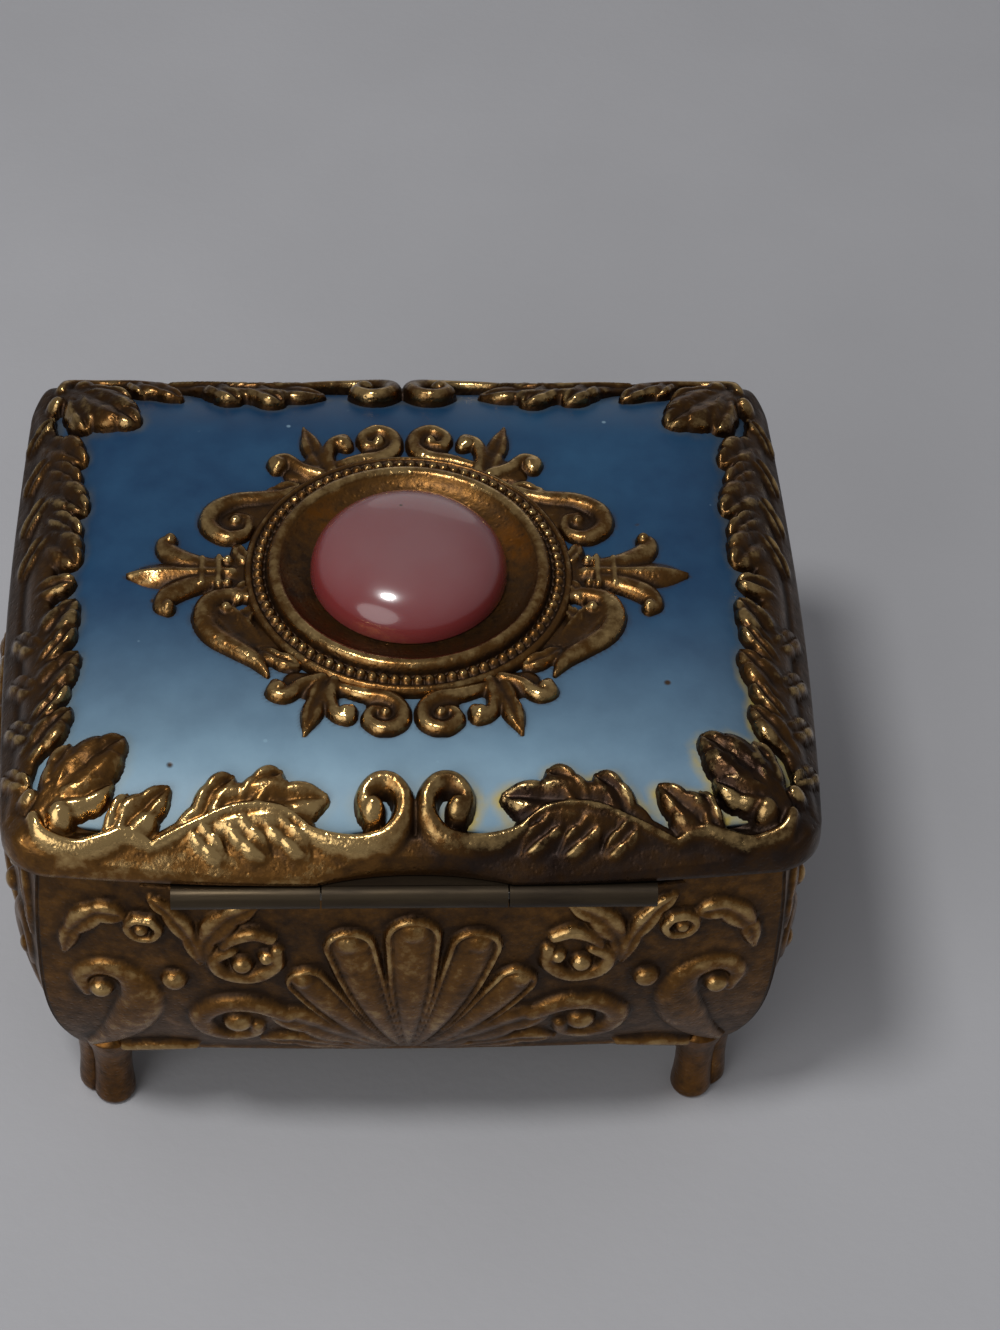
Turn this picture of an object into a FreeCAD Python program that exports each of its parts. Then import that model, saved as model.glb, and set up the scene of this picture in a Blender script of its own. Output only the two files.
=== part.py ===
import FreeCAD, Part
import math
import os

from FreeCAD import Vector

# Gilt cast-metal trinket box with a hinged lid, in millimetres.
# +Z is up, the box opens on the -Y side and is hinged on the +Y side.

# Lid casting: a pillow-shaped crown over an upright rim
lid_width = 82.0
lid_depth = 69.0
lid_rise = 7.4
lid_rim = 0.9
crown_run = 14.0
lid_corner_radius = 5.5
lid_corner_draw = 0.3
lid_side_bow = 1.0
lid_end_bow = 1.3
lid_notch_depth = 1.3
lid_notch_fade = 16.0
lid_shoulder = 9.5
border_width = 5.4
recess_depth = 1.5
lid_plate = 1.2
pocket_inset = 4.2

# Leaf border round the enamel: lobes are discs given by place along the side, reach and radius
end_lobes = ((3.0, 2.6, 2.7), (13.2, 4.0, 3.4), (23.4, 3.0, 2.6))
side_lobes = ((6.5, 2.6, 3.2), (16.0, 2.4, 2.6))
corner_lobes = ((3.2, 3.2, 4.8),)

# Raised forms of the border: volutes as place and radius, leaves as root, tip and width
relief_height = 1.1
leaf_low_share = 0.3
leaf_high_share = 0.68
leaf_low_width = 0.34
border_volutes = ((2.9, 29.2, 2.5),)
border_leaves = (
    ((8.6, 31.6), (13.0, 25.6), 4.8),
    ((16.2, 31.6), (19.2, 26.6), 4.4),
    ((36.4, 29.2), (28.6, 22.4), 5.6),
    ((37.4, 17.4), (32.6, 12.0), 4.8),
    ((37.6, 7.4), (32.6, 3.6), 4.8),
)

# Enamel, medallion and stone
enamel_thickness = 0.6
enamel_clearance = 0.05
stone_radius = 10.0
stone_height = 5.6
stone_bands = 4
stone_power = 2.4
stone_clearance = 0.5
dish_floor = 0.5
dish_radius = 12.8
roll_width = 0.9
roll_height = 2.2
bead_radius = 0.55
frame_lip_width = 1.6
frame_lip_height = 1.4
ornament_height = 0.9
scroll_place = (17.6, 6.5)
scroll_radius = 2.7
tail_tip = (14.0, 13.8)
tail_width = 2.6
fleur_tip = 28.5
fleur_root = 22.2
fleur_shaft_width = 3.0
fleur_leaf_width = 3.2
fleur_side_tip = (25.4, 4.1)
fleur_side_width = 2.2
crest_volute_place = (2.6, 19.3)
crest_volute_radius = 2.2
spray_root = (7.8, 12.8)
spray_tip = (10.8, 21.2)
spray_width = 2.8
spray_curl = (13.3, 16.0)
spray_curl_width = 1.9

# Body castings: four mitred panels, each with two half-feet
lid_overhang = 0.3
foot_height = 9.8
body_height = 34.5
panel_wall = 1.8
belly_bands = 5
belly_level = 0.62
belly_power = 2.4
bottom_inset = 6.3
mouth_inset = 0.7
bottom_bow = 0.8
belly_bow = 3.6
bracket_radius = 2.0
arch_rise = 0.8
ledge_width = 1.6
ledge_thickness = 0.8
mitre_reach = 16.0
side_bulge = 1.6
inner_runs = 4

# Raised forms of a panel, one half: petals as root, tip and width, scrolls as place and radius,
# as drawn for a lid of drawn_width on a body of drawn_height; their places follow the real width and height
panel_relief = 0.8
drawn_width = 82.0
drawn_height = 34.5
panel_petals = (
    ((0.0, 14.5), (0.0, 40.0), 4.6),
    ((2.6, 15.5), (6.6, 38.2), 4.2),
    ((5.0, 15.0), (11.4, 29.8), 4.2),
    ((29.6, 13.0), (27.8, 28.6), 4.6),
)
panel_scrolls = ((17.6, 19.6, 3.4), (16.4, 31.2, 2.8))
scroll_sides = 8

# Feet: two round lobes meet on each corner seam
foot_lobe_radius = 1.6
foot_toe_radius = 2.0
foot_toe_height = 1.8
foot_along = 2.7
foot_inward = 1.1

# Bottom plate and velvet linings
plate_thickness = 0.8
plate_clearance = 0.15
lining_thickness = 1.2
lining_clearance = 0.1
lining_below_mouth = 3.4
pad_thickness = 2.0
pad_clearance = 0.2
pad_draw_in = 0.4
pad_edge = 0.9
pad_crown_run = 14.0
lid_pad_inset = 6.8
lid_pad_lift = 0.6
lid_pad_edge = 0.8

# Hinge
lid_gap = 0.15
hinge_length = 47.0
centre_knuckle = 18.0
knuckle_gap = 0.15
barrel_radius = 1.3
pin_radius = 0.5
pin_clearance = 0.05
barrel_clearance = 0.15
hinge_setback = 0.2
leaf_thickness = 0.5
leaf_strip = 1.1
leaf_clearance = 0.2
notch_margin = 3.0

# Levels and half sizes that follow from the sizes above
mouth_level = foot_height + body_height
lid_level = mouth_level + lid_gap
rim_level = lid_level + lid_rim
crown_level = rim_level + lid_rise
panel_level = foot_height - bracket_radius
ledge_level = foot_height + arch_rise + ledge_thickness
plate_top = ledge_level + plate_thickness
enamel_drop = recess_depth - enamel_thickness
enamel_level = crown_level - enamel_drop
pocket_drop = recess_depth + lid_plate
half_width = lid_width / 2
half_depth = lid_depth / 2
body_half_width = half_width - lid_overhang
body_half_depth = half_depth - lid_overhang
hinge_axis_y = half_depth - hinge_setback
hinge_axis_z = lid_level - barrel_clearance - barrel_radius
notch_floor = hinge_axis_z - barrel_radius - barrel_clearance
strip_outer_y = hinge_axis_y - barrel_radius - leaf_clearance
strip_inner_y = strip_outer_y - leaf_strip
frame_shift = (body_half_depth + panel_relief - hinge_axis_y - barrel_radius) / 2
roll_outer = dish_radius + roll_width
diagonal = math.sqrt(0.5)
up = Vector(0, 0, 1)
quadrants = ((1, 1), (-1, 1), (-1, -1), (1, -1))
sides = ("back", "front", "left", "right")


def prism(face, height):
    """Extrude a flat face upwards."""
    return face.extrude(up * height)


def arc(start, middle, end):
    """Arc edge through three points."""
    return Part.Arc(start, middle, end).toShape()


def disc(x, y, z, radius):
    """Flat round face."""
    return Part.Face(Part.Wire(Part.makeCircle(radius, Vector(x, y, z))))


def leaf_face(root, tip, width, level):
    """Flat six-sided leaf, broadest towards its tip."""
    start = Vector(root[0], root[1], level)
    end = Vector(tip[0], tip[1], level)
    across = (end - start).cross(up)
    across.normalize()
    low = start + (end - start) * leaf_low_share
    high = start + (end - start) * leaf_high_share
    low_side = across * (width * leaf_low_width)
    high_side = across * (width / 2)
    corners = [start, low + low_side, high + high_side, end, high - high_side, low - low_side, start]
    return Part.Face(Part.makePolygon(corners))


def scroll_face(x, y, radius):
    """Flat eight-sided scroll eye or toe on the ground plane."""
    corners = []
    for i in range(scroll_sides + 1):
        angle = 2 * math.pi * i / scroll_sides
        corners.append(Vector(x + radius * math.cos(angle), y + radius * math.sin(angle), 0))
    return Part.Face(Part.makePolygon(corners))


def loft(wires):
    """Solid through a stack of wires, straight from each to the next."""
    return Part.makeLoft(wires, True, True)


def export(shape, node):
    """Write one piece, moved so that the origin is under the middle of the whole box."""
    placed = shape.copy()
    placed.translate(Vector(0, frame_shift, 0))
    placed.exportStep("parts/" + node + ".step")


def lid_ring(inset, level):
    """Lid outline: bowed sides, round corners, and a dip in the middle of the front and back."""
    x_side = half_width - inset
    y_end = half_depth - inset
    radius = lid_corner_radius - lid_corner_draw * inset
    x_corner = x_side - lid_side_bow
    y_corner = y_end - lid_end_bow
    x_round = x_corner - radius
    y_round = y_corner - radius
    reach = radius * diagonal
    dip = lid_notch_depth * (1 - inset / lid_notch_fade)
    x_turn = x_round + reach
    y_turn = y_round + reach
    x_bow = (x_round + lid_shoulder) / 2
    y_bow = y_end - lid_end_bow / 4
    edges = []
    for sign in (1, -1):

        def at(x, y):
            return Vector(sign * x, sign * y, level)

        edges.append(arc(at(x_corner, -y_round), at(x_side, 0), at(x_corner, y_round)))
        edges.append(arc(at(x_corner, y_round), at(x_turn, y_turn), at(x_round, y_corner)))
        edges.append(arc(at(x_round, y_corner), at(x_bow, y_bow), at(lid_shoulder, y_end)))
        edges.append(arc(at(lid_shoulder, y_end), at(0, y_end - dip), at(-lid_shoulder, y_end)))
        edges.append(arc(at(-lid_shoulder, y_end), at(-x_bow, y_bow), at(-x_round, y_corner)))
        edges.append(arc(at(-x_round, y_corner), at(-x_turn, y_turn), at(-x_corner, y_round)))
    return Part.Wire(edges)


def pillow_section(half_size, base, rim, top, run):
    """Cross-section with upright edges and slopes that swell into a flat top."""
    edge = half_size - run
    radius = (run ** 2 + (top - rim) ** 2) / (2 * (top - rim))
    lean = math.asin(run / radius) / 2
    bend_x = edge + radius * math.sin(lean)
    bend_z = top - radius * (1 - math.cos(lean))

    def at(x, z):
        return Vector(x, 0, z)

    edges = [
        Part.makeLine(at(-half_size, base), at(half_size, base)),
        Part.makeLine(at(half_size, base), at(half_size, rim)),
        arc(at(half_size, rim), at(bend_x, bend_z), at(edge, top)),
        Part.makeLine(at(edge, top), at(-edge, top)),
        arc(at(-edge, top), at(-bend_x, bend_z), at(-half_size, rim)),
        Part.makeLine(at(-half_size, rim), at(-half_size, base)),
    ]
    return Part.Face(Part.Wire(edges))


def pillow(half_x, half_y, base, rim, top, run):
    """Pillow-shaped block: two crossed cross-sections."""
    along_y = pillow_section(half_x, base, rim, top, run).extrude(Vector(0, 2 * half_y, 0))
    along_y.translate(Vector(0, -half_y, 0))
    along_x = pillow_section(half_y, base, rim, top, run).extrude(Vector(0, 2 * half_x, 0))
    along_x.translate(Vector(0, -half_x, 0))
    along_x.rotate(Vector(0, 0, 0), up, 90)
    return along_x.common(along_y)


def crown(drop):
    """Pillow under the lid's upper surface, sunk by drop."""
    return pillow(half_width, half_depth, lid_level - drop, rim_level - drop, crown_level - drop, crown_run)


def field_face(clearance):
    """Enamel field in plan: the lid outline drawn in, less the lobes of the leaf border."""
    x_line = half_width - border_width
    y_line = half_depth - border_width
    lobes = []
    for sx, sy in quadrants:
        for along, reach, radius in end_lobes:
            lobes.append((sx * along, sy * (y_line - reach + radius), radius))
        for along, reach, radius in side_lobes:
            lobes.append((sx * (x_line - reach + radius), sy * along, radius))
        for dx, dy, radius in corner_lobes:
            lobes.append((sx * (x_line - dx), sy * (y_line - dy), radius))
    field = Part.Face(lid_ring(border_width + clearance, lid_level))
    for x, y, radius in lobes:
        field = field.cut(disc(x, y, lid_level, radius + clearance))
    return max(field.Faces, key=lambda face: face.Area)


def border_forms():
    """Volutes and leaves that stand above the border, following the swell of the lid."""
    height = crown_level + relief_height - lid_level
    faces = []
    for sx, sy in quadrants:
        for x, y, radius in border_volutes:
            faces.append(disc(sx * x, sy * y, lid_level, radius))
        for root, tip, width in border_leaves:
            places = [(sx * x, sy * y) for x, y in (root, tip)]
            faces.append(leaf_face(*places, width, lid_level))
    forms = Part.makeCompound([prism(face, height) for face in faces])
    return forms.common(crown(-relief_height).cut(crown(lid_plate))).cut(prism(field_face(0), height))


def lid_casting():
    """Lid with a leaf border, the enamel recess and a hollow underside."""
    height = crown_level - lid_level
    block = prism(Part.Face(lid_ring(0, lid_level)), height).common(crown(0))
    recess = prism(field_face(0), height).cut(crown(recess_depth))
    hollow = prism(Part.Face(lid_ring(pocket_inset, lid_level)), height)
    plain = block.cut(recess).cut(hollow.common(crown(pocket_drop)))
    return plain.fuse(border_forms()).removeSplitter()


def enamel_field():
    """Enamel that fills the recess up to just under the leaf border."""
    layer = prism(field_face(enamel_clearance), crown_level - lid_level)
    return layer.common(crown(enamel_drop)).cut(crown(recess_depth))


def boss(place, radius):
    """Round scroll end."""
    return prism(disc(place[0], place[1], enamel_level, radius), ornament_height)


def petal(root, tip, width):
    """Pointed leaf that stands on the enamel."""
    return prism(leaf_face(root, tip, width, enamel_level), ornament_height)


def medallion_ring():
    """Turned part of the frame: dished seat, rolled fillet, bead ring and lip."""
    lip_inner = roll_outer + 2 * bead_radius
    lip_outer = lip_inner + frame_lip_width
    roll_foot = roll_height - roll_width / 2

    def at(x, z):
        return Vector(x, 0, enamel_level + z)

    corners = [
        at(dish_radius + roll_width / 2, roll_height),
        at(dish_radius, roll_foot),
        at(stone_radius + stone_clearance, dish_floor),
        at(0, dish_floor),
        at(0, 0),
        at(lip_outer, 0),
        at(lip_outer, frame_lip_height),
        at(lip_inner, frame_lip_height),
        at(roll_outer, frame_lip_height + bead_radius / 2),
    ]
    outline = Part.makePolygon(corners + corners[:1])
    return Part.Face(outline).revolve(Vector(0, 0, 0), up, 360)


def medallion_frame():
    """Frame of the stone with scrolls, two fleurs and leaf sprays, seated on the enamel."""
    stem_root = (crest_volute_place[0], roll_outer)
    stem_tip = (crest_volute_place[0], crest_volute_place[1] + crest_volute_radius / 2)
    shaft_start = roll_outer - roll_width / 2
    shaft_end = fleur_root + fleur_leaf_width / 2
    pieces = []
    for sx, sy in quadrants:

        def mirrored(place):
            return sx * place[0], sy * place[1]

        pieces.append(boss(mirrored(scroll_place), scroll_radius))
        pieces.append(boss(mirrored(crest_volute_place), crest_volute_radius))
        pieces.append(petal(mirrored(scroll_place), mirrored(tail_tip), tail_width))
        pieces.append(petal(mirrored(spray_root), mirrored(spray_tip), spray_width))
        pieces.append(petal(mirrored(stem_root), mirrored(stem_tip), crest_volute_radius))
        pieces.append(petal((sx * fleur_root, 0), mirrored(fleur_side_tip), fleur_side_width))
        pieces.append(petal(mirrored(spray_root), mirrored(spray_curl), spray_curl_width))
    for sx in (1, -1):
        shaft_x = min(sx * shaft_start, sx * shaft_end)
        shaft_corner = Vector(shaft_x, -fleur_shaft_width / 2, enamel_level)
        shaft = Part.makePlane(shaft_end - shaft_start, fleur_shaft_width, shaft_corner)
        pieces.append(prism(shaft, ornament_height))
        pieces.append(petal((sx * fleur_root, 0), (sx * fleur_tip, 0), fleur_leaf_width))
    return medallion_ring().multiFuse(pieces).removeSplitter()


def cabochon():
    """Domed round stone with a flat back, turned from a full oval section."""
    base_level = enamel_level + dish_floor
    section = [Vector(0, 0, base_level)]
    for i in range(stone_bands + 1):
        angle = math.pi / 2 * i / stone_bands
        x = stone_radius * math.cos(angle) ** (2 / stone_power)
        z = stone_height * math.sin(angle) ** (2 / stone_power)
        section.append(Vector(x, 0, base_level + z))
    return Part.Face(Part.makePolygon(section + section[:1])).revolve(Vector(0, 0, 0), up, 360)


def belly_inset(level):
    """How far the middle of a panel lies inside its widest line at a level."""
    share = (level - foot_height) / body_height
    if share < belly_level:
        return bottom_inset * (1 - share / belly_level) ** belly_power
    return mouth_inset * ((share - belly_level) / (1 - belly_level)) ** 2


def panel_bow(level):
    """How far the middle of a panel stands out past its corners at a level."""
    share = min(max((level - foot_height) / body_height / belly_level, 0), 1)
    return bottom_bow + (belly_bow - bottom_bow) * math.sin(share * math.pi / 2)


def seam_corners(level, shrink):
    """The four corner seams at a level, drawn in by shrink."""
    inset = belly_inset(level) + panel_bow(level) + shrink
    x_seam = body_half_width - inset
    y_seam = body_half_depth - inset
    return [Vector(sx * x_seam, sy * y_seam, level) for sx, sy in quadrants]


def bow_edges(level, shrink):
    """Four bowed arcs that meet at the corner seams; the ends of the box swell most."""
    share = min(max((level - foot_height) / body_height, 0), 1)
    x_middle = body_half_width + 4 * side_bulge * share * (1 - share) - belly_inset(level) - shrink
    y_middle = body_half_depth - belly_inset(level) - shrink
    corners = seam_corners(level, shrink)
    middles = [Vector(0, y_middle, level), Vector(-x_middle, 0, level)]
    middles += [Vector(0, -y_middle, level), Vector(x_middle, 0, level)]
    return [arc(corners[i], middles[i], corners[(i + 1) % 4]) for i in range(4)]


def bowed_ring(level, shrink):
    """Outer line of the panels."""
    return Part.Wire(bow_edges(level, shrink))


def chord_ring(level, shrink):
    """Inner line of the panels: the same bows in short straight runs."""
    points = []
    for edge in bow_edges(level, shrink):
        points += edge.discretize(Number=inner_runs + 1)[:-1]
    return Part.makePolygon(points + points[:1])


def straight_ring(level, shrink):
    """Straight runs from seam to seam, as stiff card bends only one way."""
    corners = seam_corners(level, shrink)
    return Part.makePolygon(corners + corners[:1])


def belly_loft(ring, bottom, top, shrink):
    """Bombe solid of one kind of ring between two levels; all share the same belly bands."""
    band = body_height / belly_bands
    levels = [foot_height + band * i for i in range(belly_bands + 1)]
    inner = [level for level in levels if bottom + band / 4 < level < top - band / 4]
    return loft([ring(level, shrink) for level in [bottom] + inner + [top]])


def mitre_wedge(side):
    """Region of one panel, cut at 45 degrees on both corner seams."""
    x_in = body_half_width - mitre_reach
    y_in = body_half_depth - mitre_reach
    x_out = body_half_width + mitre_reach
    y_out = body_half_depth + mitre_reach
    if side in ("back", "front"):
        sign = 1 if side == "back" else -1
        outline = ((-x_in, y_in), (x_in, y_in), (x_out, y_out), (-x_out, y_out))
        points = [Vector(x, sign * y, 0) for x, y in outline]
    else:
        sign = 1 if side == "right" else -1
        outline = ((x_in, -y_in), (x_in, y_in), (x_out, y_out), (x_out, -y_out))
        points = [Vector(sign * x, y, 0) for x, y in outline]
    return prism(Part.Face(Part.makePolygon(points + points[:1])), crown_level)


def half_foot(sx, sy, along_x):
    """One rounded lobe of a foot beside the seam, spread at the toe."""
    seam = seam_corners(foot_height, 0)[0]
    dx, dy = (foot_along, foot_inward) if along_x else (foot_inward, foot_along)
    place = Vector(sx * (seam.x - dx), sy * (seam.y - dy), 0)
    toe = prism(scroll_face(place.x, place.y, foot_toe_radius), foot_toe_height)
    shank = Part.makeCylinder(foot_lobe_radius, foot_height + arch_rise, place)
    return shank.fuse(toe)


def arch_cut(half_span, half_length, along_x):
    """Space under a panel: an arched lower edge that runs into the feet with round brackets."""
    spring = foot_height
    low = panel_level - bracket_radius
    bend = bracket_radius * (1 - diagonal)
    shoulder = half_span - bracket_radius

    def at(x, z):
        return Vector(x, 0, z)

    edges = [
        Part.makeLine(at(-half_span, low), at(half_span, low)),
        Part.makeLine(at(half_span, low), at(half_span, panel_level)),
        arc(at(half_span, panel_level), at(half_span - bend, spring - bend), at(shoulder, spring)),
        arc(at(shoulder, spring), at(0, spring + arch_rise), at(-shoulder, spring)),
        arc(at(-shoulder, spring), at(bend - half_span, spring - bend), at(-half_span, panel_level)),
        Part.makeLine(at(-half_span, panel_level), at(-half_span, low)),
    ]
    tunnel = Part.Face(Part.Wire(edges)).extrude(Vector(0, 2 * half_length, 0))
    tunnel.translate(Vector(0, -half_length, 0))
    if not along_x:
        tunnel.rotate(Vector(0, 0, 0), up, 90)
    return tunnel


def body_casting():
    """Walls of all four panels in one, before they are parted at the seams."""
    seam = seam_corners(foot_height, 0)[0]
    foot_reach = foot_along + foot_lobe_radius
    shell = belly_loft(bowed_ring, panel_level, mouth_level, 0)
    shell = shell.cut(arch_cut(seam.x - foot_reach, lid_depth, True))
    shell = shell.cut(arch_cut(seam.y - foot_reach, lid_width, False))
    shell = shell.cut(belly_loft(chord_ring, ledge_level, mouth_level, panel_wall))
    well = Part.Face(chord_ring(ledge_level, panel_wall + ledge_width))
    well.translate(Vector(0, 0, panel_level - ledge_level))
    shell = shell.cut(prism(well, ledge_level - panel_level))
    return shell.cut(hinge_notch())


def hinge_notch():
    """Block that clears the hinge from the top of the back panel and its relief."""
    notch_length = hinge_length + 2 * notch_margin
    notch_corner = Vector(-notch_length / 2, hinge_axis_y - mitre_reach / 2, notch_floor)
    return Part.makeBox(notch_length, mitre_reach, mitre_reach, notch_corner)


def relief_place(x, z):
    """Place of a raised form on a panel of the present width and height."""
    return x * lid_width / drawn_width, foot_height + (z - foot_height) * body_height / drawn_height


def panel_forms(sign):
    """Palmette and scrolls of the back or front panel, as upright bars through its wall."""
    faces = []
    for mirror in (1, -1):
        for root, tip, width in panel_petals:
            if root[0] or mirror > 0:
                places = [relief_place(mirror * x, z) for x, z in (root, tip)]
                faces.append(leaf_face(*places, width, 0))
        for x, z, radius in panel_scrolls:
            faces.append(scroll_face(*relief_place(mirror * x, z), radius))
    bars = Part.makeCompound([face.extrude(up * (-sign * lid_depth)) for face in faces])
    bars.rotate(Vector(0, 0, 0), Vector(1, 0, 0), 90)
    return bars


def panels():
    """The four panels by name: walls parted on the mitre planes, with a half-foot at each end."""
    casting = body_casting()
    shell = belly_loft(bowed_ring, foot_height, mouth_level, -panel_relief)
    shell = shell.cut(belly_loft(chord_ring, panel_level, mouth_level, panel_wall / 2))
    parted = {}
    for side in sides:
        along_x = side in ("back", "front")
        sign = 1 if side in ("back", "right") else -1
        ends = [(1, sign), (-1, sign)] if along_x else [(sign, 1), (sign, -1)]
        feet = [half_foot(sx, sy, along_x) for sx, sy in ends]
        panel = casting.multiFuse(feet).common(mitre_wedge(side))
        if along_x:
            forms = panel_forms(sign).common(shell).common(mitre_wedge(side))
            panel = panel.fuse(forms.cut(hinge_notch()))
        parted[side] = panel.removeSplitter()
    return parted


def bottom_plate():
    """Sheet bottom that lies on the panels' ledges."""
    return prism(Part.Face(chord_ring(ledge_level, panel_wall + plate_clearance)), plate_thickness)


def wall_linings():
    """Velvet-covered cards that stand on the bottom plate against the panels."""
    outer = panel_wall + lining_clearance
    top = mouth_level - lining_below_mouth
    hollow = belly_loft(straight_ring, plate_top, top, outer + lining_thickness)
    ring = belly_loft(straight_ring, plate_top, top, outer).cut(hollow)
    return {side: ring.common(mitre_wedge(side)) for side in sides}


def floor_pad():
    """Velvet pad on the bottom plate: sides drawn in below and a crowned face."""
    outer = panel_wall + lining_clearance + lining_thickness + pad_clearance
    bottom = straight_ring(plate_top, outer + pad_draw_in)
    waist = straight_ring(plate_top, outer)
    waist.translate(Vector(0, 0, pad_edge))
    half_x = waist.BoundBox.XMax
    half_y = waist.BoundBox.YMax
    top = plate_top + pad_thickness
    face = pillow(half_x, half_y, plate_top, plate_top + pad_edge, top, pad_crown_run)
    return loft([bottom, waist]).fuse(prism(Part.Face(waist), pad_thickness).common(face))


def lid_pad():
    """Velvet pad in the hollow of the lid, with drawn-in lower edges."""
    lower = lid_level + lid_pad_lift

    def ring(inset, level):
        x = half_width - inset
        y = half_depth - inset
        return Part.makePolygon([Vector(sx * x, sy * y, level) for sx, sy in quadrants + quadrants[:1]])

    waist = ring(lid_pad_inset, lower + lid_pad_edge)
    block = prism(Part.Face(waist), lid_rise).common(crown(pocket_drop))
    return loft([ring(lid_pad_inset + pad_draw_in, lower), waist]).fuse(block)


def hinge_leaf(spans, strip_level):
    """Strip with a tab to each knuckle, and the knuckles bored for the pin."""
    strip_corner = Vector(-hinge_length / 2, strip_inner_y, strip_level)
    leaf = Part.makeBox(hinge_length, leaf_strip, leaf_thickness, strip_corner)
    along = Vector(1, 0, 0)
    for start, end in spans:
        tab_corner = Vector(start, strip_outer_y, strip_level)
        tab = Part.makeBox(end - start, hinge_axis_y - strip_outer_y, leaf_thickness, tab_corner)
        foot = Vector(start, hinge_axis_y, hinge_axis_z)
        leaf = leaf.multiFuse([tab, Part.makeCylinder(barrel_radius, end - start, foot, along)])
    bore_start = Vector(-hinge_length, hinge_axis_y, hinge_axis_z)
    bore = Part.makeCylinder(pin_radius + pin_clearance, 2 * hinge_length, bore_start, along)
    return leaf.cut(bore).removeSplitter()


def hinge_pin():
    """Wire pin through all three knuckles."""
    start = Vector(-hinge_length / 2, hinge_axis_y, hinge_axis_z)
    return Part.makeCylinder(pin_radius, hinge_length, start, Vector(1, 0, 0))


os.makedirs("parts", exist_ok=True)

export(lid_casting(), "lid_casting")
export(enamel_field(), "enamel_field")
export(medallion_frame(), "medallion_frame")
export(cabochon(), "cabochon")
export(lid_pad(), "lid_pad")
for side, panel in panels().items():
    export(panel, side + "_panel")
for side, lining in wall_linings().items():
    export(lining, side + "_lining")
export(bottom_plate(), "bottom_plate")
export(floor_pad(), "floor_pad")

centre_end = centre_knuckle / 2
outer_start = centre_end + knuckle_gap
outer_end = hinge_length / 2
body_spans = ((-outer_end, -outer_start), (outer_start, outer_end))
export(hinge_leaf(body_spans, notch_floor), "hinge_body_leaf")
export(hinge_leaf(((-centre_end, centre_end),), lid_level - leaf_thickness), "hinge_lid_leaf")
export(hinge_pin(), "hinge_pin")
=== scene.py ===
import math

import bpy
import numpy as np
from mathutils import Matrix, Vector


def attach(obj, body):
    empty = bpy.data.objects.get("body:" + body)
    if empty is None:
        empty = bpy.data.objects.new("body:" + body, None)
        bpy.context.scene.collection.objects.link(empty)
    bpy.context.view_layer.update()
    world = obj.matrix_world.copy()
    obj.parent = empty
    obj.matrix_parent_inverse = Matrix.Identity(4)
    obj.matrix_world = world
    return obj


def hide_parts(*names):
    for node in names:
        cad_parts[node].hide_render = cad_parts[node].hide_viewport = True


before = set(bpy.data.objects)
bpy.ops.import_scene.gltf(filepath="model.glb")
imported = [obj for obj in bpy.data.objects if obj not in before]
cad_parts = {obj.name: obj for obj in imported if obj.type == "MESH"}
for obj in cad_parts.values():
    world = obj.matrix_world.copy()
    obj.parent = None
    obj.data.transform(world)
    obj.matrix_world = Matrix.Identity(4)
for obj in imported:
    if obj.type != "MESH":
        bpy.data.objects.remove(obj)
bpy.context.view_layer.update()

bl_info = {
    "name": "Gilt Trinket Box",
    "version": (1, 0, 0),
    "blender": (4, 5, 0),
    "location": "View3D > Sidebar > Trinket Box",
    "description": "Dresses a hinged gilt trinket box with cast relief, enamel, a stone and velvet",
    "category": "Object",
}

MM = 0.001

# Lid outline and crown, in millimetres; plan points are measured from the middle of the lid
LID_MIDDLE_Y = -0.3
HALF_WIDTH = 41.0
HALF_DEPTH = 34.5
CORNER_RADIUS = 5.5
CORNER_DRAW = 0.3
SIDE_BOW = 1.0
END_BOW = 1.3
NOTCH_DEPTH = 1.3
NOTCH_FADE = 16.0
SHOULDER = 9.5
LID_LEVEL = 44.45
RIM_LEVEL = 45.35
CROWN_LEVEL = 52.75
CROWN_RUN = 14.0
CROWN_BLEND = 1.2
ENAMEL_DROP = 0.9
ENAMEL_THICK = 0.6
PLATE_DROP = 1.55
POCKET_DROP = 2.7
POCKET_INSET = 4.2
SKIRT_WIDTH = 1.3
SKIRT_FADE = 2.0
GROUND_DEPTH = 0.8
ARC_SAMPLES = (224, 40, 108, 84)

# Rows of the lid casting, as insets from its outline
SEAT_INSETS = (13.95, 13.6)
CARVED_INSETS = (0.5, 13.2)
CARVED_ROWS = 60
EDGE_INSETS = (0.12, 0.3)
RIM_EASE = 0.15
EDGE_EASE = 0.2
LAND_INSET = 2.0
HOLLOW_INSETS = (POCKET_INSET, 7.0, 10.0, 13.95)

# Marks of the border, as (start, run): the hinge side carries a painted highlight, brighter gold, at one end
# and is tarnished at the other
NEAR_SIDE = (20.0, 6.0)
HIGHLIGHT_SIDE = (27.0, 4.0)
HIGHLIGHT_END = (1.6, 8.0)
TARNISHED_END = (-2.4, 8.0)
SIDE_TARNISH = 0.75

# Gain and reach of the hollow mark on each casting
LID_HOLLOW = (0.9, 4)
RING_HOLLOW = (1.2, 5)
ORNAMENT_HOLLOW = (1.1, 4)
PANEL_HOLLOW = (1.1, 5)
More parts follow.
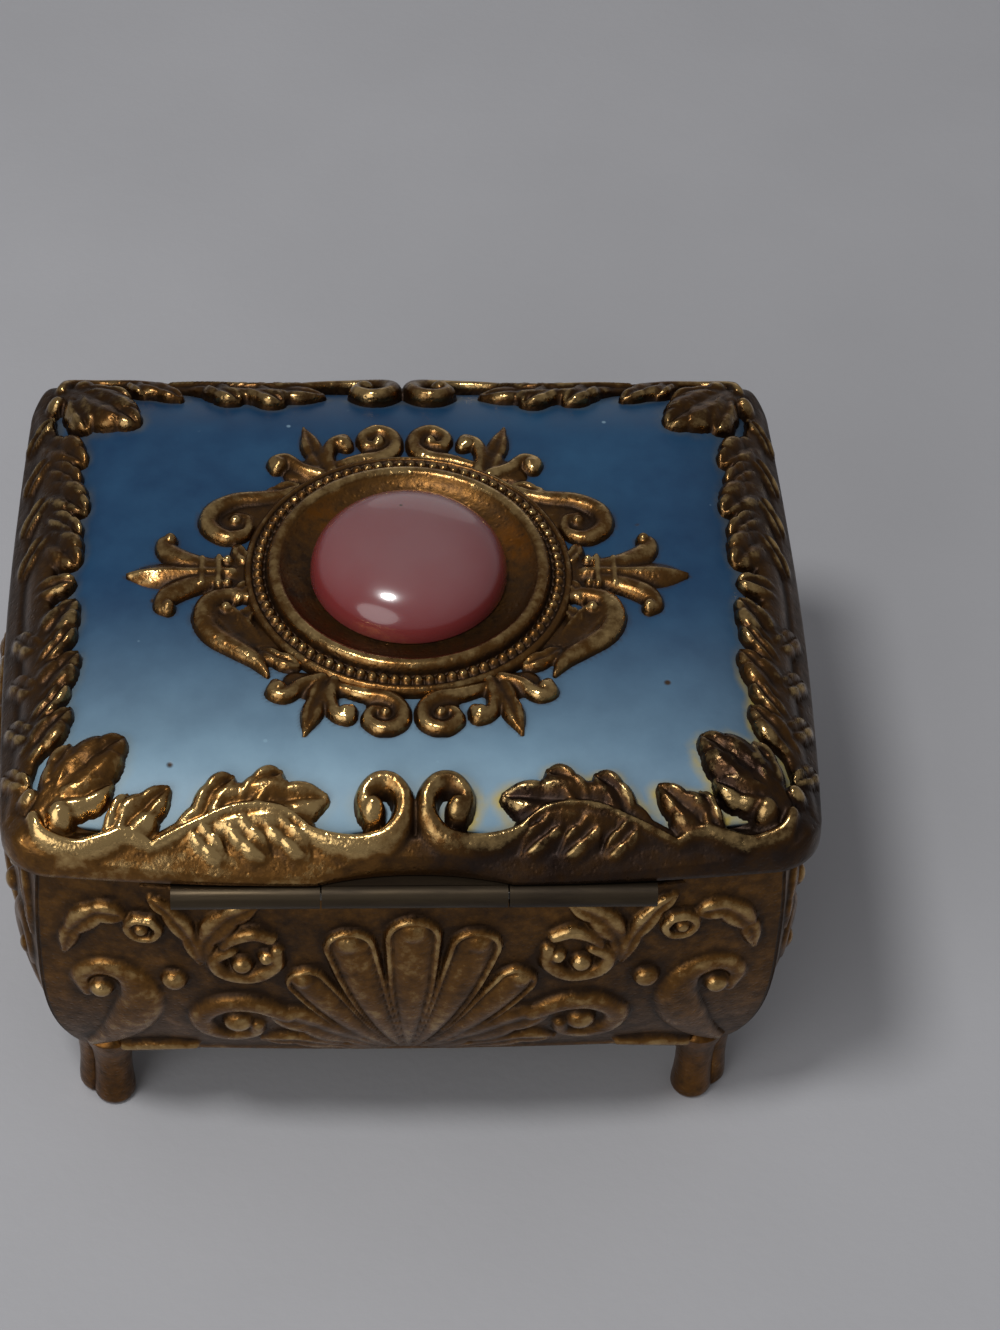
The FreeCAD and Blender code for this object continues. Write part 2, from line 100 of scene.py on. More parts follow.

# Enamel rows, painted sheen towards the hinge, worn rim and painted shadow round the ornaments
ENAMEL_INSETS = (3.0, 13.6)
ENAMEL_ROWS = 46
ENAMEL_THIN = 2
FIELD_INSET = 14.0
FIELD_SHARES = (1.0, 0.3)
FIELD_ROWS = 40
BACK_ROWS = (-1, 45, 20, 0)
ENAMEL_FIT = 0.05
PAINTED_SHEEN_STRENGTH = 0.95
PAINTED_SHEEN_SIDE = (-1.0, 27.0)
PAINTED_SHEEN_POWER = 1.7
PAINTED_SHEEN_LOSS = 0.35
PAINTED_SHEEN_LOSS_END = (0.0, 25.0)
WORN_LEVEL = -0.3
WORN_GAIN = 2.0
WORN_REACH = 2
WORN_END = (0.0, 5.0)
WORN_SIDE = (10.0, 8.0)
SHADOW_DEPTH = 0.5
SHADOW_RADIUS = 16.0

# Body castings
# Painted highlight: brighter gold at the +x end of the hinge side, where light is reflected.
BODY_HALF_WIDTH = 40.7
BODY_HALF_DEPTH = 34.2
FOOT_HEIGHT = 9.8
BODY_HEIGHT = 34.5
MOUTH_LEVEL = 44.3
BELLY_SHARE = 0.62
BELLY_POWER = 2.4
BOTTOM_INSET = 6.3
MOUTH_INSET = 0.7
BOTTOM_BOW = 0.8
BELLY_BOW = 3.6
SIDE_BULGE = 1.6
ARCH_RISE = 0.8
BRACKET_RADIUS = 2.0
FOOT_REACH = 4.3
PANEL_WALL = 1.8
LEDGE_WIDTH = 1.6
LEDGE_LEVEL = 11.4
NOTCH_HALF = 26.5
NOTCH_FLOOR = 41.55
NOTCH_LIP = 0.3
NOTCH_STEP = 0.0005
SEAM_GROOVE = 0.3
SEAM_FADE = 0.03
MOUTH_FADE = 1.2
SIDE_SHARE = 0.8
BOTTOM_LIP = 0.35
BOTTOM_LIP_RISE = 0.6
BOTTOM_LIP_WIDTH = 0.5
LONG_COLUMNS = 390
SHORT_COLUMNS = 300
PANEL_ROWS = 140
LIP_ROWS = 10
INNER_ROWS = 12
GROUND_MARK = 0.3
RELIEF_MARK = 0.45
INSIDE_HOLLOW = 0.35
SIDES = ("back", "front", "left", "right")
LONG_SIDES = ("back", "front")

# Leaf border of the lid, one quarter, mirrored to the others: runs of (x, y, half width)
BORDER_VOLUTE = (
    (10.6, 31.4, 0.8), (8.0, 32.2, 1.0), (5.2, 32.5, 1.15), (2.7, 32.0, 1.25), (1.25, 30.5, 1.25),
    (1.15, 28.7, 1.2), (2.2, 27.4, 1.15), (3.7, 27.3, 1.1), (4.8, 28.4, 1.05), (4.7, 29.5, 1.0),
)
BORDER_BULB = (4.1, 29.7, 1.35)
BORDER_BODIES = (
    ((10.4, 30.9, 1.0), (13.0, 29.9, 1.9), (16.6, 29.7, 2.0), (20.4, 30.7, 1.6), (25.4, 32.3, 1.0)),
    ((39.0, 28.6, 0.9), (38.0, 23.4, 1.5), (37.2, 16.0, 1.8), (37.2, 8.6, 1.8), (37.6, 0.0, 1.7)),
    ((36.6, 29.8, 1.1), (34.0, 27.4, 2.0), (32.0, 25.6, 1.6)),
)
BORDER_RIBS = (
    ((9.8, 31.4, 0.35), (13.0, 29.8, 0.5), (17.0, 29.7, 0.55), (21.0, 30.9, 0.5), (25.0, 32.3, 0.4)),
    ((25.4, 32.3, 0.6), (27.8, 31.6, 0.9), (29.6, 32.1, 1.0), (32.6, 32.6, 1.0), (35.6, 31.7, 1.0),
     (36.6, 30.0, 0.8)),
)
# Leaves of the border, each a run and the count of its lobes
BORDER_LEAVES = (
    (((22.8, 31.6, 1.2), (18.4, 29.7, 2.3), (13.6, 29.0, 2.6), (8.8, 28.4, 0.9)), 4),
    (((16.6, 29.6, 1.0), (14.8, 27.6, 1.8), (13.0, 26.2, 0.7)), 2),
    (((20.6, 30.4, 1.0), (19.2, 28.3, 1.8), (17.6, 26.7, 0.7)), 2),
    (((29.8, 32.0, 0.9), (26.8, 30.2, 2.0), (23.8, 27.6, 0.7)), 3),
    (((29.0, 31.4, 0.8), (28.4, 30.0, 1.3), (27.6, 28.4, 0.6)), 2),
    (((36.2, 29.6, 1.0), (33.0, 26.6, 2.8), (30.6, 24.4, 2.6), (28.2, 22.2, 0.6)), 4),
    (((35.0, 27.8, 0.9), (34.3, 24.8, 1.8), (33.4, 22.4, 0.6)), 2),
    (((34.4, 28.6, 0.9), (31.6, 28.4, 1.7), (29.2, 27.2, 0.6)), 2),
    (((38.0, 22.4, 1.0), (35.8, 19.8, 2.1), (33.6, 17.4, 0.6)), 3),
    (((37.4, 18.2, 0.8), (35.3, 16.0, 1.4), (34.0, 14.0, 0.5)), 2),
    (((37.6, 15.2, 1.0), (35.4, 12.6, 2.3), (33.2, 10.0, 0.6)), 3),
    (((37.2, 10.8, 0.8), (35.0, 8.4, 1.4), (33.6, 6.4, 0.5)), 2),
    (((37.4, 7.8, 1.0), (35.4, 5.2, 2.2), (33.8, 2.6, 0.6)), 3),
    (((37.6, 0.0, 1.3), (35.8, 0.0, 1.7), (33.9, 0.0, 0.5)), 2),
    (((14.4, 30.4, 0.8), (12.4, 31.6, 1.5), (10.4, 32.8, 0.7)), 2),
    (((18.0, 30.4, 0.8), (16.2, 31.8, 1.5), (14.2, 32.9, 0.7)), 2),
    (((21.4, 31.0, 0.8), (20.0, 32.1, 1.3), (18.4, 33.0, 0.6)), 2),
    (((37.4, 25.6, 0.7), (38.8, 24.2, 1.2), (39.8, 22.4, 0.6)), 2),
    (((37.2, 19.6, 0.7), (38.6, 18.2, 1.4), (39.8, 16.2, 0.6)), 2),
    (((37.0, 13.8, 0.7), (38.5, 12.2, 1.4), (39.8, 10.2, 0.6)), 2),
    (((37.0, 8.2, 0.7), (38.5, 6.4, 1.4), (39.7, 4.2, 0.6)), 2),
)
BORDER_BEADS = ((34.0, 30.0, 1.45), (37.2, 27.6, 1.25))
BODY_SHARE = 0.74
RIB_SHARE = 1.05
VOLUTE_SHARE = 1.12
BULB_SHARE = 1.2
BEAD_SHARE = 1.1

# Medallion: turned ring as (radius, height), ornaments as runs of (x, y, half width)
STONE_RADIUS = 10.0
STONE_HEIGHT = 5.6
STONE_POWER = 2.4
STONE_TURNS = 128
STONE_BANDS = 48
STONE_FOOT = ((9.5, 0.0), (9.9, 0.05))
STONE_GIRDLE = 0.15
DISH_FLOOR = 0.5
DISH_RADIUS = 13.0
RING_SECTION = (
    (16.9, -0.3), (16.75, 0.55), (16.55, 0.95), (16.3, 1.15), (16.05, 1.15), (15.9, 0.95), (15.8, 0.8),
    (14.6, 0.8), (14.45, 1.1), (14.35, 1.5), (14.15, 1.9), (13.85, 2.1), (13.5, 2.15), (13.15, 2.0),
    (12.85, 1.7), (12.5, 1.4), (12.0, 1.1), (11.4, 0.85), (10.8, 0.65), (10.2, 0.52), (9.0, 0.5),
)
RING_STEP = 0.2
BEAD_CIRCLE = 15.2
BEAD_RADIUS = 0.6
BEAD_COLUMNS = 9
BEAD_SEAT = 0.75
BEAD_RISE = 0.8
RING_TOP = 2.4
RING_TARNISH = -0.4
AMBER_SPOTS = ((-11.6, -4.0, 9.0, 1.5), (9.0, -8.0, 8.0, 0.9))
ORNAMENT_CELL = 0.21
ORNAMENT_REACH = (28.7, 22.0)
ORNAMENT_SINK = 0.6
ORNAMENT_CUT = -0.55
ORNAMENT_ROOT = 0.7
RING_COVER = 15.4
RING_COVER_LEVEL = 0.9
RING_OVERLAP = 14.9
MIRRORED_RUNS = (
    ((7.0, 15.7, 0.7), (4.8, 16.5, 0.9), (2.5, 17.0, 1.0), (1.1, 18.4, 0.95), (1.3, 20.2, 0.95),
     (2.9, 21.0, 0.9), (4.3, 20.0, 0.85), (4.0, 18.8, 0.75), (2.9, 18.8, 0.7)),
    ((8.8, 14.4, 0.8), (10.8, 15.2, 0.85), (12.4, 16.6, 0.85), (13.7, 16.2, 0.8), (13.4, 15.3, 0.8)),
    ((7.6, 14.8, 0.8), (8.1, 17.0, 0.85), (7.6, 18.9, 0.85), (6.4, 19.6, 0.8), (6.1, 18.7, 0.8)),
    ((19.6, 1.0, 1.1), (22.0, 1.6, 1.3), (24.0, 2.8, 1.3), (24.8, 4.2, 1.0), (24.2, 5.0, 0.7)),
)
MIRRORED_LEAVES = (
    ((8.2, 14.2, 0.8), (9.4, 17.4, 1.35), (10.6, 21.5, 0.35)),
    ((11.4, 12.6, 0.8), (13.2, 11.8, 1.1), (14.8, 10.6, 0.5)),
    ((16.2, 1.6, 0.7), (17.0, 2.6, 0.95), (17.5, 3.9, 0.5)),
)
MIRRORED_BEADS = (
    (2.7, 19.2, 0.7), (13.1, 15.8, 0.95), (6.6, 19.0, 0.95), (24.2, 4.7, 0.8), (18.3, 1.6, 0.6),
)
ORNAMENT_GROUNDS = (
    ((15.6, 0.0, 3.4), (18.4, 0.0, 2.7), (21.6, 0.0, 2.0), (25.6, 0.0, 1.2)),
    ((13.4, 9.4, 1.8), (16.4, 8.2, 2.3), (18.4, 6.4, 2.0)),
    ((3.2, 16.0, 1.2), (2.7, 18.0, 1.9), (2.7, 19.4, 1.9)),
    ((6.4, 15.4, 1.0), (9.2, 15.4, 1.8), (11.4, 14.6, 1.4)),
)
FLEUR_LEAF = ((18.0, 0.0, 1.5), (22.0, 0.0, 1.6), (25.4, 0.0, 1.7), (28.5, 0.0, 0.3))
FLEUR_COLLARS = (((19.2, 0.0, 0.5), (19.2, 1.9, 0.5)), ((20.9, 0.0, 0.5), (20.9, 1.7, 0.5)))
FAR_SCROLL = (
    (12.4, -11.4, 0.8), (15.0, -10.8, 1.1), (17.8, -10.4, 1.15), (20.0, -8.9, 1.15), (20.2, -6.7, 1.1),
    (18.4, -5.2, 1.0), (16.5, -5.9, 0.75), (16.4, -7.7, 0.65), (17.6, -8.2, 0.6),
)
NEAR_SCROLL = (
    (15.8, 3.4, 0.7), (17.8, 2.9, 1.0), (19.9, 3.8, 1.25), (20.6, 6.0, 1.3), (19.6, 8.4, 1.25),
    (17.4, 10.2, 1.15), (15.4, 11.8, 0.95), (14.2, 13.8, 0.3),
)
NEAR_FILL = (
    ((15.4, 9.6, 0.8), (17.0, 7.8, 1.5), (18.4, 5.8, 1.4)),
    ((15.8, 5.0, 0.6), (16.6, 6.2, 0.8), (16.4, 7.6, 0.5)),
)
SCROLL_EYES = ((17.6, -7.4, 0.8), (18.4, 4.9, 0.75))
GROUND_SHARE = 0.55
SPRAY_SHARE = 0.95
SPRAY_LOBES = 2
FLEUR_SHARE = 1.1
COLLAR_SHARE = 1.15
FILL_SHARE = 0.75

# Relief of a body panel, one half, mirrored: runs of (across, level, half width)
PANEL_PETALS = (
    ((1.4, 13.6, 0.4), (4.6, 19.4, 1.3), (8.2, 25.6, 2.1), (10.4, 29.2, 2.2)),
    ((0.6, 13.6, 0.4), (2.5, 20.8, 1.3), (4.7, 28.8, 2.3), (6.2, 34.8, 2.7)),
    ((0.0, 13.6, 0.4), (0.0, 21.0, 1.3), (0.0, 29.0, 2.4), (0.0, 36.4, 2.9)),
)
PANEL_BULBS = (
    (0.0, 37.3, 1.7), (6.4, 35.6, 1.6), (10.8, 29.8, 1.4), (16.8, 31.6, 1.2), (26.6, 36.0, 0.9),
    (23.6, 28.2, 1.4), (17.4, 20.9, 1.6), (31.0, 25.6, 1.3), (14.4, 33.0, 0.9),
)
PANEL_LEAVES = (
    ((2.0, 13.2, 0.6), (5.6, 17.2, 1.9), (9.6, 20.8, 2.7), (13.4, 23.2, 1.6)),
    ((2.4, 12.6, 0.5), (7.0, 15.0, 1.5), (11.4, 16.8, 1.8), (14.8, 16.2, 0.7)),
    ((20.9, 31.4, 0.6), (20.2, 35.0, 1.4), (18.0, 38.4, 1.6), (15.6, 40.0, 0.7)),
    ((20.9, 31.4, 0.6), (22.0, 35.2, 1.2), (24.0, 38.6, 1.1), (25.6, 40.2, 0.6)),
    ((34.4, 31.0, 0.5), (33.4, 34.6, 1.3), (31.0, 37.4, 1.6), (28.8, 37.4, 1.2)),
)
PANEL_SCROLLS = (
    ((12.4, 23.0, 1.3), (15.6, 24.8, 1.5), (18.9, 24.4, 1.5), (21.0, 21.9, 1.45), (20.4, 19.0, 1.3),
     (18.0, 17.6, 1.15), (15.8, 18.5, 1.0), (15.4, 20.2, 0.85)),
    ((13.4, 34.0, 0.8), (13.6, 31.6, 1.0), (15.8, 29.8, 1.1), (18.6, 30.2, 1.1), (19.5, 32.2, 1.0),
     (17.9, 33.6, 0.8)),
    ((14.0, 35.8, 0.8), (15.6, 36.4, 1.0), (17.4, 35.6, 0.9), (18.6, 34.2, 0.6)),
    ((32.4, 12.2, 0.9), (30.0, 15.8, 1.8), (28.0, 20.2, 2.5), (27.0, 24.6, 2.3), (28.2, 28.0, 1.6),
     (31.0, 29.0, 1.3), (33.0, 27.2, 1.1), (32.4, 24.6, 0.8)),
    ((25.6, 37.2, 0.6), (24.9, 36.0, 0.6), (25.6, 34.8, 0.6), (27.2, 34.8, 0.6), (28.0, 36.0, 0.6),
     (27.2, 37.2, 0.6), (25.6, 37.2, 0.6)),
    ((22.0, 12.8, 0.6), (25.8, 12.6, 1.0), (29.2, 11.2, 0.9)),
)
PANEL_LEAF_SHARE = 0.9
PANEL_LEAF_LOBES = 3
PANEL_SINK = 0.05

# Feet: (level, half width) of each lobe, and its place beside the seam
FOOT_SECTION = (
    (0.0, 1.7), (0.15, 2.0), (0.6, 2.2), (1.4, 2.2), (2.6, 2.1), (4.2, 2.0), (6.0, 2.0), (7.6, 2.1),
    (8.8, 2.3), (10.0, 2.7), (11.4, 3.0),
)
FOOT_ALONG = 2.7
FOOT_INWARD = 1.1
FOOT_SEGMENTS = 28
FOOT_ROWS = 40
FOOT_RUST = 0.3
FOOT_MARK = 0.35
FOOT_HOLLOW = 0.55

# Velvet
FLOOR_LEVEL = 12.2
LINING_TOP = 40.9
LINING_OUTER = 1.9
LINING_THICK = 1.2
LINING_ROLL = 2.2
LINING_EDGE = 0.25
LINING_SLACK = 0.33
LINING_WAVE = 0.06
LINING_WAVES = (0.55, 2.0)
LINING_HALF_RUN = 36.0
LINING_GRID = (70, 120)
PAD_SHRINK = 3.3
PAD_THICK = 2.0
PAD_EDGE = 0.5
PAD_SLACK = 0.65
PAD_ROLL = 6.0
PAD_CORNER = 2.4
PAD_CORNER_SHARE = 0.8
PAD_REACH = 0.96
PAD_DRAW_IN = 0.4
PAD_ROWS = 36
PAD_WAVE = 0.05
PAD_WAVES = (0.45, 0.5)
ROUND_STEPS = 24
LID_PAD_INSET = 4.5
LID_PAD_LEVEL = 45.05
LID_PAD_TOP = 50.0
LID_PAD_GAP = 0.1
LID_PAD_EDGE = 1.2
LID_PAD_RUN = 9.5
LID_PAD_ROLL = 4.0
LID_PAD_ROWS = 30
LID_PAD_THIN = 4
LID_PAD_WAVES = (0.4, 0.45)
LID_PAD_BACK = (13.8, 10.0, 7.0, 4.7)

# Plain metals: finish, worn and body colour, and how far its streaks are drawn out along X
PLAIN_METALS = (
    ("hinge", "worn_hinge_brass", (0.078, 0.058, 0.035), (0.021, 0.014, 0.008), 0.15),
    ("sheet", "sheet_brass", (0.42, 0.29, 0.12), (0.20, 0.12, 0.05), 0.1),
    ("pin", "pin_wire", (0.5, 0.48, 0.45), (0.2, 0.18, 0.16), 0.1),
)

# Stage, in metres, watts and degrees
FLOOR_HALF = 3.0
WORLD_COLOUR = (0.52, 0.52, 0.54, 1.0)
WORLD_STRENGTH = 0.54
LAMPS = (
    ("overhead_softbox", (0.145, 0.135, 0.55), 0.11, 1.55),
    ("side_softbox", (0.40, 0.54, 0.36), 0.6, 2.0),
    ("back_strip", (-0.10, -0.70, 0.16), 0.5, 0.2),
)
LAMP_TARGET = Vector((0.0, 0.0, 0.03))
CAMERA_PLACE = (0.0106, 0.24065, 0.2995)
CAMERA_AZIMUTH = 175.15
CAMERA_ELEVATION = 47.18
CAMERA_ROLL = 3.4
SENSOR_WIDTH = 36.0
FOCAL_SHARE = 3400.0 / 1330.0
CLIP_START = 0.01


# ---------------------------------------------------------------- settings


class BoxSizes(bpy.types.PropertyGroup):
    """Sizes of the relief that a user would change."""

    leaf_height: bpy.props.FloatProperty(
        name="Leaf height", description="How far the leaf border stands above the enamel",
        default=2.0 * MM, unit="LENGTH")
    ornament_height: bpy.props.FloatProperty(
        name="Ornament height", description="How far the medallion scrolls stand above the enamel",
        default=1.15 * MM, unit="LENGTH")
    panel_height: bpy.props.FloatProperty(
        name="Panel relief", description="How far the panel relief stands out",
        default=1.0 * MM, unit="LENGTH")
    bead_count: bpy.props.IntProperty(
        name="Beads", description="Number of beads round the stone", default=84, min=24, max=120)


class BoxColours(bpy.types.PropertyGroup):
    """Colours of the finishes."""

    gilt_bright: bpy.props.FloatVectorProperty(
        name="Worn gilt", description="Rubbed high points",
        default=(0.52, 0.345, 0.14), subtype="COLOR")
    gilt_body: bpy.props.FloatVectorProperty(
        name="Gilt", description="Body colour of the aged gilding",
        default=(0.178, 0.082, 0.021), subtype="COLOR")
    gilt_patina: bpy.props.FloatVectorProperty(
        name="Patina", description="Dark deposit in the hollows",
        default=(0.030, 0.0135, 0.0038), subtype="COLOR")
    gilt_tarnish: bpy.props.FloatVectorProperty(
        name="Tarnish", description="Purplish tarnish on part of the border",
        default=(0.015, 0.0085, 0.0066), subtype="COLOR")
    amber: bpy.props.FloatVectorProperty(
        name="Old glue", description="Amber stain beside the stone",
        default=(0.18, 0.064, 0.009), subtype="COLOR")
    enamel_light: bpy.props.FloatVectorProperty(
        name="Enamel", description="Lighter enamel",
        default=(0.011, 0.058, 0.125), subtype="COLOR")
    enamel_dark: bpy.props.FloatVectorProperty(
        name="Enamel shade", description="Darker enamel",
        default=(0.003, 0.029, 0.078), subtype="COLOR")
    # Painted sheen colour, mixed into the enamel towards the hinge where it catches the light; also the
    # colour of the light chips.
    enamel_film: bpy.props.FloatVectorProperty(
        name="Film", description="Pale dusty film towards the hinge",
        default=(0.215, 0.335, 0.42), subtype="COLOR")
    enamel_worn: bpy.props.FloatVectorProperty(
        name="Worn rim", description="Yellowed rim of the enamel",
        default=(0.40, 0.29, 0.035), subtype="COLOR")
    # Crown colour of the stone, partly a painted reflection on its top.
    stone_top: bpy.props.FloatVectorProperty(
        name="Stone top", description="Greyer pink of the crown",
        default=(0.182, 0.076, 0.078), subtype="COLOR")
    stone_rim: bpy.props.FloatVectorProperty(
        name="Stone rim", description="Redder pink of the rim",
        default=(0.158, 0.024, 0.025), subtype="COLOR")
    velvet: bpy.props.FloatVectorProperty(
        name="Velvet", description="Pile colour",
        default=(0.13, 0.018, 0.028), subtype="COLOR")
    floor: bpy.props.FloatVectorProperty(
        name="Floor", description="Plain pale floor",
        default=(0.40, 0.40, 0.415), subtype="COLOR")


# ---------------------------------------------------------------- relief


def curve_through(points, steps):
    """Smooth run through given points."""
    p = np.array(points, float)
    p = np.vstack([2 * p[0] - p[1], p, 2 * p[-1] - p[-2]])
    t = np.linspace(0, 1, steps, endpoint=False)[:, None]
    runs = []
    for a, b, c, d in zip(p[:-3], p[1:-2], p[2:-1], p[3:]):
        bend, twist = 2 * a - 5 * b + 4 * c - d, 3 * b - a - 3 * c + d
        runs.append(0.5 * (2 * b + (c - a) * t + bend * t**2 + twist * t**3))
    return np.vstack(runs + [p[-2:-1]])


def tube_section(q):
    """Round rod."""
    return np.sqrt(np.clip(1 - q * q, 0, None))


def petal_section(q):
    """Broad low swell inside a thin raised outline."""
    rim, inside, ground, outline = 0.85, 0.72, 0.3, 0.82
    swell = ground + (1 - ground) * tube_section(q / inside)
    edge = outline * tube_section((q - rim) / (1 - rim))
    return np.maximum(np.where(q < inside, swell, ground * (q < rim)), edge)


def leaf_section(q):
    """Cast leaf: two rounded halves beside a vein."""
    vein, vein_width = 0.34, 0.5
    return np.sqrt(np.clip(1 - q**3, 0, None)) * (1 - vein + vein * np.minimum(q / vein_width, 1) ** 0.8)


def lobe_section(q):
    """Leaf lobe, dished inside a raised rim."""
    rim, dip = 0.78, 0.38
    dish = 1 - dip + dip * (q / rim) ** 2
    return np.where(q < rim, dish, tube_section((q - rim) / (1 - rim)))


def soft_section(q):
    """Low rounded body."""
    return np.clip(1 - q**2.6, 0, None) ** 0.7


def ridged_section(q):
    """Leaf with a sharp ridge."""
    ridge = 0.65
    return ridge * (1 - q) + (1 - ridge) * tube_section(q)


class Relief:
    """Heights over a set of plan points, in millimetres above the ground of the casting."""

    def __init__(self, x, y, ground, depth):
        self.x = x.ravel()
        self.y = y.ravel()
        self.depth = depth
        self.height = np.array(np.broadcast_to(ground, x.shape), float).ravel()

    def raise_to(self, where, height, blend=0.12):
        """Joins a form to the relief with a small fillet."""
        old = self.height[where]
        gap = np.clip(blend - np.abs(old - height), 0, None)
        self.height[where] = np.maximum(old, height) + gap * gap / (4 * blend)

    def run(self, path, height, section, lobes=0):
        """A tapered form along a smooth run of (x, y, half width), its margin cut into lobes."""
        thinnest, notch, swell, skirt, margin = 0.1, 0.74, 0.34, 0.25, 1.3
        steps = 14 if lobes else 7
        line = curve_through(path, steps)
        line[:, 2] = np.maximum(line[:, 2], thinnest)
        if lobes:
            line[:, 2] *= notch + swell * np.abs(np.sin(np.linspace(0, lobes * math.pi, len(line))))
        full = line[:, 2].max()
        reach = margin * full
        low = line[:, :2].min(axis=0) - reach
        high = line[:, :2].max(axis=0) + reach
        inside = (self.x > low[0]) & (self.x < high[0]) & (self.y > low[1]) & (self.y < high[1])
        near = np.nonzero(inside)[0]
        if not near.size:
            return
        px, py = self.x[near], self.y[near]
        best = np.full(near.size, np.inf)
        width = np.full(near.size, full)
        for (ax, ay, ar), (bx, by, br) in zip(line[:-1], line[1:]):
            dx, dy = bx - ax, by - ay
            t = np.clip(((px - ax) * dx + (py - ay) * dy) / max(dx * dx + dy * dy, 1e-9), 0, 1)
            r = ar + t * (br - ar)
            q = np.hypot(px - ax - t * dx, py - ay - t * dy) / r
            closer = q < best
            best[closer] = q[closer]
            width[closer] = r[closer]
        touched = best < 1 + skirt
        q = best[touched]
        form = height * np.sqrt(width[touched] / full) * section(np.minimum(q, 1))
        self.raise_to(near[touched], np.where(q < 1, form, -(q - 1) / skirt * self.depth))

    def bead(self, x, y, radius, height):
        """A round boss."""
        near = np.nonzero((np.abs(self.x - x) < radius) & (np.abs(self.y - y) < radius))[0]
        q = np.hypot(self.x[near] - x, self.y[near] - y) / radius
        self.raise_to(near[q < 1], height * tube_section(q[q < 1]))


def ramp(value, start, run):
    """Rises from 0 to 1 over a run."""
    return np.clip((value - start) / run, 0, 1)


def rounded(share):
    """Quarter-round edge: rises from 0 to 1 while share does."""
    return np.sqrt(1 - (1 - np.clip(share, 0, 1)) ** 2)


def blur(grid, reach, wrap):
    """Mean over a square of cells."""
    for axis in (0, 1):
        mode = "wrap" if wrap[axis] else "edge"
        pad = [(0, 0), (0, 0)]
        pad[axis] = (reach, reach)
        wide = np.pad(grid, pad, mode=mode)
        sums = np.cumsum(np.insert(wide, 0, 0, axis=axis), axis=axis)
        span = 2 * reach + 1
        size = grid.shape[axis]
        ends = np.take(sums, range(span, span + size), axis=axis)
        grid = (ends - np.take(sums, range(size), axis=axis)) / span
    return grid


def hollow_mark(height, gain, reach, wrap=(False, False)):
    """Mark that is 0 in hollows, 0.5 on plain ground and 1 on ridges."""
    return np.clip(0.5 + gain * (height - blur(height, reach, wrap)), 0, 1)


def border_relief(x, y, inset, height):
    """Leaf border over plan points of the lid, in millimetres above the enamel."""
    fade = ramp(inset, SKIRT_WIDTH, SKIRT_FADE)
    ground = ENAMEL_DROP - (ENAMEL_DROP + GROUND_DEPTH) * fade * fade * (3 - 2 * fade)
    relief = Relief(np.abs(x), np.abs(y), ground, GROUND_DEPTH)
    for path in BORDER_BODIES:
        relief.run(path, BODY_SHARE * height, soft_section)
    for path, lobes in BORDER_LEAVES:
        relief.run(path, height, leaf_section, lobes)
    for path in BORDER_RIBS:
        relief.run(path, RIB_SHARE * height, tube_section)
    relief.run(BORDER_VOLUTE, VOLUTE_SHARE * height, tube_section)
    relief.bead(*BORDER_BULB, BULB_SHARE * height)
    for bead in BORDER_BEADS:
        relief.bead(*bead, BEAD_SHARE * height)
    return relief.height.reshape(x.shape)


def panel_relief(across, level, height):
    """Palmette and scrolls over points of a panel, in millimetres above its wall."""
    relief = Relief(np.abs(across), level, 0.0, PANEL_SINK)
    for path in PANEL_PETALS:
        relief.run(path, height, petal_section)
    for path in PANEL_LEAVES:
        relief.run(path, PANEL_LEAF_SHARE * height, leaf_section, PANEL_LEAF_LOBES)
    for path in PANEL_SCROLLS:
        relief.run(path, height, soft_section)
    for bulb in PANEL_BULBS:
        relief.bead(*bulb, BULB_SHARE * height)
    return relief.height.reshape(across.shape)


def ornament_relief(x, y, height):
    """Scrolls, fleurs and sprays round the medallion ring, in millimetres above the enamel."""
    folded = Relief(np.abs(x), np.abs(y), -ORNAMENT_SINK, ORNAMENT_SINK)
    for path in ORNAMENT_GROUNDS:
        folded.run(path, GROUND_SHARE * height, soft_section)
    for path in MIRRORED_LEAVES:
        folded.run(path, SPRAY_SHARE * height, leaf_section, SPRAY_LOBES)
    for path in MIRRORED_RUNS:
        folded.run(path, height, tube_section)
    for bead in MIRRORED_BEADS:
        folded.bead(*bead, BULB_SHARE * height)
    folded.run(FLEUR_LEAF, FLEUR_SHARE * height, ridged_section)
    for path in FLEUR_COLLARS:
        folded.run(path, COLLAR_SHARE * height, tube_section)
    half = Relief(np.abs(x), y, 0.0, ORNAMENT_SINK)
    half.height = folded.height
    half.run(FAR_SCROLL, RIB_SHARE * height, tube_section)
    for path in NEAR_FILL:
        half.run(path, FILL_SHARE * height, lobe_section)
    half.run(NEAR_SCROLL, RIB_SHARE * height, tube_section)
    for eye in SCROLL_EYES:
        half.bead(*eye, BEAD_SHARE * height)
    return half.height.reshape(x.shape)


# ---------------------------------------------------------------- shapes


def arc_points(start, middle, end, count):
    """Points along the arc through three places, without its end."""
    (ax, ay), (bx, by), (cx, cy) = start, middle, end
    d = 2 * (ax * (by - cy) + bx * (cy - ay) + cx * (ay - by))
    a, b, c = ax**2 + ay**2, bx**2 + by**2, cx**2 + cy**2
    ux = (a * (by - cy) + b * (cy - ay) + c * (ay - by)) / d
    uy = (a * (cx - bx) + b * (ax - cx) + c * (bx - ax)) / d
    first = math.atan2(ay - uy, ax - ux)
    turn = math.remainder(math.atan2(cy - uy, cx - ux) - first, 2 * math.pi)
    angle = first + turn * np.arange(count) / count
    radius = math.hypot(ax - ux, ay - uy)
    return np.stack([ux + radius * np.cos(angle), uy + radius * np.sin(angle)], axis=1)


